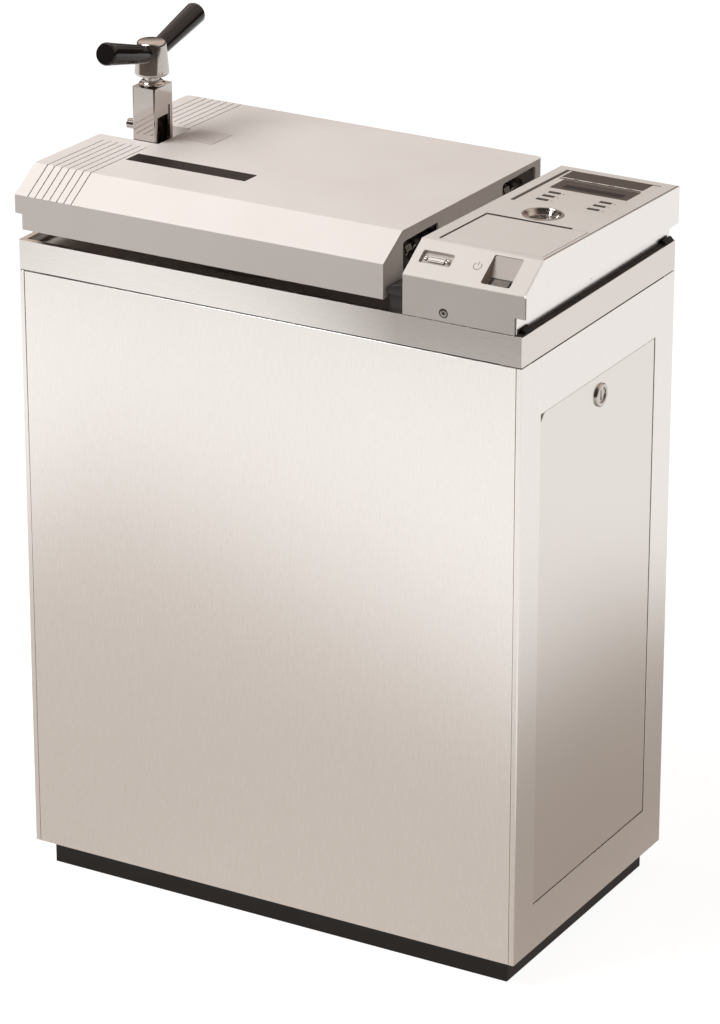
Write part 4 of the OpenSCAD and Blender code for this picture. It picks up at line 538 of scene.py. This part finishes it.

# painted shadow of the flap's gap: a black strip in the left gap and raised black lips along the edges that
# open
flapGapShadow = {"x": (22.8, 177.8), "v": (10.0, 141.0), "gap": 0.95, "slack": 0.1, "stripHeights": (-2.4, -0.05),
            "lip": 3.4, "lipGap": 0.15, "lipStart": 2, "leftHeights": (0.02, 0.3), "rearLip": 5.2,
            "rearShort": 26.0, "rearHeights": (0.02, 0.35)}
x0, x1 = flapGapShadow["x"]
v0, v1 = flapGapShadow["v"]
gap, lip, lipGap = flapGapShadow["gap"], flapGapShadow["lip"], flapGapShadow["lipGap"]
shape = bmesh.new()
prism(shape, bar(x0 - gap, v0 - gap, x0 - flapGapShadow["slack"], v1 + gap), flapGapShadow["stripHeights"], hoodTop)
prism(shape, bar(x0 - lip, v0 + flapGapShadow["lipStart"], x0 - lipGap, v1 + lipGap), flapGapShadow["leftHeights"],
      hoodTop)
prism(shape, bar(x0 - lip, v1 + lipGap, x1 - flapGapShadow["rearShort"], v1 + flapGapShadow["rearLip"]),
      flapGapShadow["rearHeights"], hoodTop)
finishMesh(shape, "flapGapShadow", inkBlack, "root")

# dark seam beside the steel side, and the shell's lip that laps over the steel's folded edge
seam = {"x": 183.75, "width": 1.1, "slopeWidth": 0.25, "lip": 1.7, "topV": (1.0, 403.5),
        "slopeV": (1.5, 62.5), "heights": (0.02, 0.12)}
topStart, topEnd = seam["topV"]
slopeStart, slopeEnd = seam["slopeV"]
shape = bmesh.new()
prism(shape, bar(seam["x"] - seam["width"], topStart, seam["x"], topEnd), seam["heights"], hoodTop)
prism(shape, bar(seam["x"] - seam["slopeWidth"], slopeStart, seam["x"], slopeEnd), seam["heights"], hoodSlope)
finishMesh(shape, "hoodSeam", inkBlack, "root")
printMarks("hoodLip", [bar(seam["x"], slopeStart, seam["x"] + seam["lip"], slopeEnd)], hoodSlope, hoodGrey,
           seam["heights"])

# display: dark frame on the module and the dark liquid-crystal field
display = {"frame": (35.6, 300.6, 154.9, 345.9, 1.2), "frameHeights": (-0.98, -0.35), "round": 0.2,
           "glass": (50.0, 310.0, 142.5, 325.0, 0.8), "glassHeights": (-0.34, -0.2)}
shape = bmesh.new()
prism(shape, roundedBox(*display["frame"]), display["frameHeights"], hoodTop)
roundEdges(shape, display["round"], 2)
finishMesh(shape, "displayFrame", inkDark, "root")
printMarks("displayGlass", [roundedBox(*display["glass"])], hoodTop, inkBlack,
           display["glassHeights"])

# power sign beside the switch: a ring, open at the top, with a stroke
power = {"x": 98.0, "v": 34.6, "outer": 6.5, "inner": 5.2, "start": 125, "sweep": 290, "steps": 24,
         "strokeHalf": 0.6, "strokeV": (1.0, 7.8)}
turns = [math.radians(power["start"] + power["sweep"] * i / power["steps"])
         for i in range(power["steps"] + 1)]
ring = [(power["x"] + radius * math.cos(turn), power["v"] + radius * math.sin(turn))
        for radius, way in ((power["outer"], turns), (power["inner"], turns[::-1])) for turn in way]
stroke = bar(power["x"] - power["strokeHalf"], power["v"] + power["strokeV"][0],
             power["x"] + power["strokeHalf"], power["v"] + power["strokeV"][1])
printMarks("powerSign", [ring, stroke], hoodSlope, inkGrey)
print("panel printed")

# gauge: turned chrome rim and well, dial with ticks and numbers, glass
gauge = {"x": 87.4, "v": 180.0, "steps": 96, "dialSteps": 64,
         "rim": [(27.0, -2.0), (27.0, 0.0), (28.6, 0.02), (29.0, 0.4), (28.9, 1.1), (28.2, 1.5), (27.0, 1.6),
                 (26.2, 1.3), (25.6, 0.4), (25.0, -1.0), (24.0, -3.6), (22.4, -6.6), (21.4, -6.95),
                 (0, -6.95)],
         "well": [(25.2, -1.2), (25.5, -1.0), (25.3, -0.6), (24.0, -3.3), (22.3, -6.5), (21.4, -6.84),
                  (21.2, -6.9)],
         "dial": [(21.2, -6.94), (21.2, -6.86), (0, -6.86)],
         "glass": [(0, -1.6), (24.6, -1.6), (24.9, -1.2), (18.0, -0.5), (9.0, -0.1), (0, 0.0)],
         "start": 225, "sweep": 270, "ticks": 40, "longEvery": 10, "longTick": (17.2, 0.35),
         "shortTick": (18.8, 0.16), "tickEnd": 20.2, "tickHeights": (-6.85, -6.8), "numbers": "01234",
         "numberRadius": 13.6, "numberHeight": -6.8, "numberSize": 4.8, "inkThickness": 0.02,
         "needleRound": 0.15}
gaugeFrame = hoodTop @ at(gauge["x"], gauge["v"])
for name, part, finish, slot, steps in (("gaugeRim", "rim", chrome, "polished_chrome", gauge["steps"]),
                                        ("gaugeWell", "well", chrome, "polished_chrome", gauge["steps"]),
                                        ("gaugeDial", "dial", dialShadeGrey, "panel_print", gauge["dialSteps"])):
    shape = bmesh.new()
    lathe(shape, gauge[part], gaugeFrame, steps)
    finishMesh(shape, name, finish, "root")
shape = bmesh.new()
for i in range(gauge["ticks"] + 1):
    angle = math.radians(gauge["start"] - gauge["sweep"] * i / gauge["ticks"])
    inner, half = gauge["longTick"] if i % gauge["longEvery"] == 0 else gauge["shortTick"]
    prism(shape, bar(inner, -half, gauge["tickEnd"], half), gauge["tickHeights"],
          gaugeFrame @ Matrix.Rotation(angle, 4, "Z"))
finishMesh(shape, "gaugeTicks", shadedDialMark, "root")
dress("gauge_needle", shadedDialMark, "needle", [(gauge["needleRound"], 2, None)])

for i, word in enumerate(gauge["numbers"]):
    angle = math.radians(gauge["start"] - gauge["sweep"] * i / (len(gauge["numbers"]) - 1))
    letter = bpy.data.curves.new("gaugeNumber%d" % i, "FONT")
    letter.body = word
    letter.size = gauge["numberSize"] * mm
    letter.extrude = gauge["inkThickness"] * mm
    letter.align_x, letter.align_y = "CENTER", "CENTER"
    number = bpy.data.objects.new("gaugeNumber%d" % i, letter)
    bpy.context.scene.collection.objects.link(number)
    number.matrix_world = gaugeFrame @ at(gauge["numberRadius"] * math.cos(angle),
                                          gauge["numberRadius"] * math.sin(angle), gauge["numberHeight"])
    letter.materials.append(shadedDialMark)
    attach(number, "root")

# pressed clear glass: only its smears and its edge show, and a low index keeps the disc from bending the dial
glass = {"colour": "#ffffff", "smudge": 8.3333, "clean": 0.02, "smeared": 0.08}
glassMaterial, tree, shader, place = newMaterial("gaugeGlass", {"Base Color": glass["colour"],
                                                                "Roughness": 0.03, "IOR": 1.04,
                                                                "Transmission Weight": 1.0,
                                                                "Specular IOR Level": 0.3})
smudge = addNode(tree, "ShaderNodeTexNoise", {"Scale": 1000 / glass["smudge"], "Detail": 3.0},
                 {"Vector": place})
smear = addNode(tree, "ShaderNodeMapRange", {"From Min": 0.4, "From Max": 0.8, "To Min": glass["clean"],
                                             "To Max": glass["smeared"]}, {"Value": smudge.outputs["Fac"]})
tree.links.new(smear.outputs[0], shader.inputs["Roughness"])
shape = bmesh.new()
lathe(shape, gauge["glass"], gaugeFrame, gauge["dialSteps"])
finishMesh(shape, "gaugeGlassDisc", glassMaterial, "root")
print("gauge made")

# pale block of the socket's contacts, and a black painted shadow round the switch in its recess
printMarks("socketInsert", [roundedBox(*socket["insert"])], hoodSlope, mouldedGrey,
           socket["insertHeights"])
# black strips on the recess floor round the rocker, standing in for its shadow
surround = {"x": (117.6, 122.0, 152.1, 156.2), "v": (8.8, 10.5, 28.6, 31.6), "heights": (-14.0, -13.3)}
x0, x1, x2, x3 = surround["x"]
v0, v1, v2, v3 = surround["v"]
printMarks("switchPaintedShadow", [bar(x0, v0, x1, v3), bar(x2, v0, x3, v3), bar(x1, v0, x2, v1),
                              bar(x1, v2, x2, v3)], hoodSlope, blackPlastic,
           surround["heights"])

# lid
lid = {"frontY": -229, "crestY": -176.3, "frontZ": 1043, "crestZ": 1075, "fallShare": 0.02616, "near": 1.2,
       "frontFold": (1035, 1044.5), "crestLow": 1073.5, "windowX": 183, "windowZ": (1005, 1060),
       "windowY": (-174.5, -76.5, 108.5, 206.5), "windowNear": 1, "grooveX": -303, "grooveDepth": (0.5, 1.2),
       "ribX": -300, "ribZ": 1046, "ribLength": 30, "ribAlong": 0.8, "floorFacing": 0.6,
       "crestLength": 20, "shortest": 4, "crestRound": 1.6, "edgeRound": 0.6, "windowRound": 6.0,
       "plateRound": 0.15, "labelY": -30}


def isWindowCorner(edge):
    spot = middle(edge)
    return along(edge, xAxis) and spot.x > lid["windowX"] and between(spot.z, lid["windowZ"]) \
        and min(abs(spot.y - y) for y in lid["windowY"]) < lid["windowNear"]


def isLidCrest(edge):
    # the two long folds above and below the lid's front slope
    spot = middle(edge)
    low = abs(spot.y - lid["frontY"]) < lid["near"] and between(spot.z, lid["frontFold"])
    high = abs(spot.y - lid["crestY"]) < lid["near"] and spot.z > lid["crestLow"]
    return along(edge, xAxis) and (low or high)


def isLongCrest(edge):
    return isLidCrest(edge) and lengthOf(edge) > lid["crestLength"]


def isRib(edge):
    # the crests between the grooves stay sharp
    spot = middle(edge)
    return spot.x < lid["ribX"] and lengthOf(edge) > lid["ribLength"] and spot.z > lid["ribZ"] \
        and along(edge, yAxis, lid["ribAlong"])


def isLidEdge(edge):
    return not isWindowCorner(edge) and not isLidCrest(edge) and lengthOf(edge) > lid["shortest"] \
        and not isRib(edge)


def grooveFace(face):
    # the floors of the grooves are shaded like the shadow line of a fine moulded groove
    spot = centre(face)
    if spot.x > lid["grooveX"] or face.normal.z < lid["floorFacing"]:
        return 0
    if spot.y < lid["crestY"]:
        rise = (lid["crestZ"] - lid["frontZ"]) / (lid["crestY"] - lid["frontY"])
        top = lid["frontZ"] + (spot.y - lid["frontY"]) * rise
    else:
        top = lid["crestZ"] - (spot.y - lid["crestY"]) * lid["fallShare"]
    return 1 if between(top - spot.z, lid["grooveDepth"]) else 0


dress("lid_cover", mouldedGrey, "lid",
      [(lid["windowRound"], 5, isWindowCorner), (lid["crestRound"], 4, isLongCrest),
       (lid["edgeRound"], 2, isLidEdge)], extra=(grooveShadeGrey,), paint=grooveFace)
dress("name_plates", inkBlack, "lid", [(lid["plateRound"], 2, None)], extra=(labelSilver,),
      paint=lambda face: 1 if centre(face).y > lid["labelY"] else 0)
print("lid dressed")

# hinge and clamp
iron = {"bracketRound": 0.6, "barRound": 1.0}
for name in ("hinge_brackets", "clamp_keeper"):
    dress(name, darkIron, "root", [(iron["bracketRound"], 2, None)])
dress("lid_crossbar", darkIron, "lid", [(iron["barRound"], 3, None)])

clamp = {"postRound": 0.6, "armRound": 1.2, "buttonRound": 0.6, "place": (-330.0, 17.0), "cut": 1149.2,
         "steps": 96,
         "bearing": [(0, 1149.3), (18.6, 1149.3), (19.0, 1149.7), (19.0, 1151.4), (18.4, 1152.0),
                     (16.2, 1152.4), (15.9, 1154.6), (15.4, 1155.0)],
         "neck": [(11.4, 1155.2), (11.0, 1155.6), (11.0, 1163.4), (11.6, 1164.0)],
         "hub": [(21.4, 1164.0), (23.4, 1164.5), (24.6, 1165.7), (25.0, 1167.2), (24.9, 1168.4),
                 (21.5, 1208.4), (21.1, 1210.6), (20.0, 1212.5), (18.2, 1213.6), (15.6, 1214.0),
                 (0, 1214.0)]}
dress("clamp_post", chrome, "lid", [(clamp["postRound"], 3, None)])
# the spindle keeps the CAD's foot, and what stands above the cut is turned anew in one smooth profile
shape = cleanCopy("clamp_handle")
upper = [face for face in shape.faces if max(vertex.co.z for vertex in face.verts) > clamp["cut"] * mm]
bmesh.ops.delete(shape, geom=upper, context="FACES")
loose = [edge for edge in shape.edges if not edge.link_faces]
bmesh.ops.delete(shape, geom=loose, context="EDGES")
lathe(shape, clamp["bearing"] + clamp["neck"] + clamp["hub"], at(*clamp["place"]), clamp["steps"])
handle = finishMesh(shape, "clampHandleTurned", chrome, "clamp")
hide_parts("clamp_handle")
dress("handle_arms", blackPhenolic, "clamp", [(clamp["armRound"], 4, None)])
dress("latch_button", chrome, "latch", [(clamp["buttonRound"], 3, None)])
print("clamp dressed")

# CAD nodes that stay as they are, in their finishes
finishes = {millSteel: ("floor_pan", "corner_angles", "pressure_vessel", "vessel_flange", "sieve_plate",
                        "temperature_probe", "drain_pipe", "mounting_plate", "pressure_lid", "lid_bolt",
                        "drain_port", "heater_ring"),
            mineralWool: ("insulation_jacket",), brass: ("drain_valve", "safety_valve"),
            blackPlastic: ("cable_inlet", "power_relays", "display_module", "printer_unit"),
            terminalGreen: ("terminal_block",), groundSteel: ("hinge_shaft", "torsion_springs"),
            chrome: ("pressure_gauge",), gasketRubber: ("lid_gasket",)}
for finish, names in finishes.items():
    for name in names:
        node = nodes[name]
        if not node.data.materials:
            node.data.materials.append(finish)
        for i in range(len(node.material_slots)):
            node.material_slots[i].material = finish
print("inner nodes finished")

# studio: white surround, pale floor, one soft lamp; its lengths are metres
studio = {"surround": 0.26, "colour": "#f3e2d6", "roomDark": 0.07, "behindY": (-0.5, 0.3),
          "aboveZ": (0.12, 0.42)}


def seenBy(tree):
    # whether the camera sees the surround, or a mirror or glass does
    path = addNode(tree, "ShaderNodeLightPath")
    mirror = addNode(tree, "ShaderNodeMath", links={0: path.outputs["Is Glossy Ray"],
                                                    1: path.outputs["Is Transmission Ray"]},
                     operation="MAXIMUM")
    return path.outputs["Is Camera Ray"], mirror.outputs[0]


white, black = (1, 1, 1, 1), (0, 0, 0, 1)
world = bpy.data.worlds.new("studioSurround")
world.use_nodes = True
bpy.context.scene.world = world
tree = world.node_tree
cameraRay, mirrorRay = seenBy(tree)
# mirrors see white behind and above the object and the dim room before it
generated = addNode(tree, "ShaderNodeTexCoord").outputs["Generated"]
direction = addNode(tree, "ShaderNodeSeparateXYZ", links={0: generated})
behind = addNode(tree, "ShaderNodeMapRange", {"From Min": studio["behindY"][0],
                                              "From Max": studio["behindY"][1]},
                 {"Value": direction.outputs["Y"]}, interpolation_type="SMOOTHSTEP")
above = addNode(tree, "ShaderNodeMapRange", {"From Min": studio["aboveZ"][0],
                                             "From Max": studio["aboveZ"][1]},
                {"Value": direction.outputs["Z"]}, interpolation_type="SMOOTHSTEP")
room = addNode(tree, "ShaderNodeMath", links={0: behind.outputs[0], 1: above.outputs[0]},
               operation="MULTIPLY")
bright = addNode(tree, "ShaderNodeMapRange", {"To Min": studio["roomDark"], "To Max": 1.0},
                 {"Value": room.outputs[0]})
lit = addNode(tree, "ShaderNodeMix", {2: studio["surround"]}, {0: mirrorRay, 3: bright.outputs[0]})
level = addNode(tree, "ShaderNodeMix", {3: 1.0}, {0: cameraRay, 2: lit.outputs[0]})
warm = addNode(tree, "ShaderNodeMix", {6: linear(studio["colour"]), 7: white}, {0: cameraRay},
               data_type="RGBA")
tree.links.new(warm.outputs[2], tree.nodes["Background"].inputs["Color"])
tree.links.new(level.outputs[0], tree.nodes["Background"].inputs["Strength"])

# floor: white to the camera, while mirrors see a painted shade round the casing and a painted dark far end
ground = {"colour": "#8a8885", "roughness": 0.9, "half": 14, "glow": 0.93, "mirrorGlow": 0.86,
          "nearShadeColour": "#b6ada6", "farShadeColour": "#5c544e", "shadeHalf": {"X": 0.4, "Y": 0.229},
          "shadeReach": {"X": 1.2, "Y": 2.1}, "skewEnd": 0.1, "skew": 0.25, "spread": 1.3,
          "shadeRim": (0.38, 0.76), "farY": (-2.5, -4.2), "sideShade": 0.9, "shadeStart": (0.4, 0.5),
          "shadeEnd": (0.75, 1.05)}
floorMaterial = bpy.data.materials.new("paleStudioFloor")
floorMaterial.use_nodes = True
tree = floorMaterial.node_tree
shader = tree.nodes["Principled BSDF"]
shader.inputs["Base Color"].default_value = linear(ground["colour"])
shader.inputs["Roughness"].default_value = ground["roughness"]
shader.inputs["Specular IOR Level"].default_value = 0.0
cameraRay, mirrorRay = seenBy(tree)
place = addNode(tree, "ShaderNodeTexCoord").outputs["Object"]
spot = addNode(tree, "ShaderNodeSeparateXYZ", links={0: place})
reach = []
for axis, half in ground["shadeHalf"].items():
    share = 1 / ground["shadeReach"][axis]
    side = addNode(tree, "ShaderNodeMath", links={0: spot.outputs[axis]}, operation="ABSOLUTE")
    reach.append(addNode(tree, "ShaderNodeMath", {1: share, 2: -half * share}, {0: side.outputs[0]},
                         operation="MULTIPLY_ADD"))
away = addNode(tree, "ShaderNodeMath", links={0: reach[0].outputs[0], 1: reach[1].outputs[0]},
               operation="MAXIMUM")
# the painted shade's rim runs askew, nearer on the right
skewed = addNode(tree, "ShaderNodeMath", {1: ground["skewEnd"]}, {0: spot.outputs["X"]},
                 operation="MINIMUM")
skew = addNode(tree, "ShaderNodeMath", {1: ground["skew"]}, {0: skewed.outputs[0]}, operation="MULTIPLY")
rim = addNode(tree, "ShaderNodeMath", {1: ground["spread"]}, {0: away.outputs[0], 2: skew.outputs[0]},
              operation="MULTIPLY_ADD")
nearShade = addNode(tree, "ShaderNodeMapRange", {"From Min": ground["shadeRim"][0], "From Max": ground["shadeRim"][1]},
              {"Value": rim.outputs[0]}, interpolation_type="SMOOTHSTEP")
far = addNode(tree, "ShaderNodeMapRange", {"From Min": ground["farY"][0], "From Max": ground["farY"][1]},
              {"Value": spot.outputs["Y"]}, interpolation_type="SMOOTHSTEP")
near = addNode(tree, "ShaderNodeMix", {6: linear(ground["nearShadeColour"]), 7: white}, {0: nearShade.outputs[0]},
               data_type="RGBA")
# beside the door the mirrored floor carries a slight painted shade
ahead = addNode(tree, "ShaderNodeMapRange", {"From Min": ground["shadeStart"][0],
                                             "From Max": ground["shadeStart"][1], "To Min": 1.0,
                                             "To Max": ground["sideShade"]}, {"Value": spot.outputs["X"]})
past = addNode(tree, "ShaderNodeMapRange", {"From Min": ground["shadeEnd"][0],
                                            "From Max": ground["shadeEnd"][1],
                                            "To Min": ground["sideShade"]}, {"Value": spot.outputs["X"]})
shade = addNode(tree, "ShaderNodeMath", links={0: ahead.outputs[0], 1: past.outputs[0]},
                operation="MAXIMUM")
shaded = addNode(tree, "ShaderNodeMix", {6: black}, {0: shade.outputs[0], 7: near.outputs[2]},
                 data_type="RGBA")
whole = addNode(tree, "ShaderNodeMix", {7: linear(ground["farShadeColour"])},
                {0: far.outputs[0], 6: shaded.outputs[2]}, data_type="RGBA")
shown = addNode(tree, "ShaderNodeMix", {7: white}, {0: cameraRay, 6: whole.outputs[2]}, data_type="RGBA")
tree.links.new(shown.outputs[2], shader.inputs["Emission Color"])
seen = addNode(tree, "ShaderNodeMath", {1: ground["glow"]}, {0: cameraRay}, operation="MULTIPLY")
glow = addNode(tree, "ShaderNodeMath", {1: ground["mirrorGlow"]}, {0: mirrorRay, 2: seen.outputs[0]},
               operation="MULTIPLY_ADD")
tree.links.new(glow.outputs[0], shader.inputs["Emission Strength"])
half = ground["half"]
floorMesh = bpy.data.meshes.new("studioFloor")
floorMesh.from_pydata([(-half, -half, 0), (half, -half, 0), (half, half, 0), (-half, half, 0)], [],
                      [(0, 1, 2, 3)])
floorMesh.materials.append(floorMaterial)
floor = bpy.data.objects.new("studioFloor", floorMesh)
bpy.context.scene.collection.objects.link(floor)

# a large square lamp, high at the left before the object
lamp = {"place": (-2.2, -2.2, 5.0), "aim": (0, 0, 0.9), "size": 3.0, "power": 268}
light = bpy.data.lights.new("keyLamp", "AREA")
light.shape = "SQUARE"
light.size = lamp["size"]
light.energy = lamp["power"]
holder = bpy.data.objects.new("keyLamp", light)
bpy.context.scene.collection.objects.link(holder)
holder.location = lamp["place"]
holder.rotation_euler = (Vector(lamp["aim"]) - Vector(lamp["place"])).to_track_quat("-Z", "Y").to_euler()

# camera before the right front corner, looking down
view = {"place": (3.0567, -5.2836, 3.0872), "tilt": 67.54, "turn": 29.88, "lens": 161.7, "sensor": 36.0}
lens = bpy.data.cameras.new("studioCamera")
lens.lens = view["lens"]
lens.sensor_width = view["sensor"]
camera = bpy.data.objects.new("studioCamera", lens)
bpy.context.scene.collection.objects.link(camera)
camera.location = view["place"]
camera.rotation_euler = (math.radians(view["tilt"]), 0, math.radians(view["turn"]))
bpy.context.scene.camera = camera
bpy.context.scene.view_settings.view_transform = "Standard"
print("studio set")
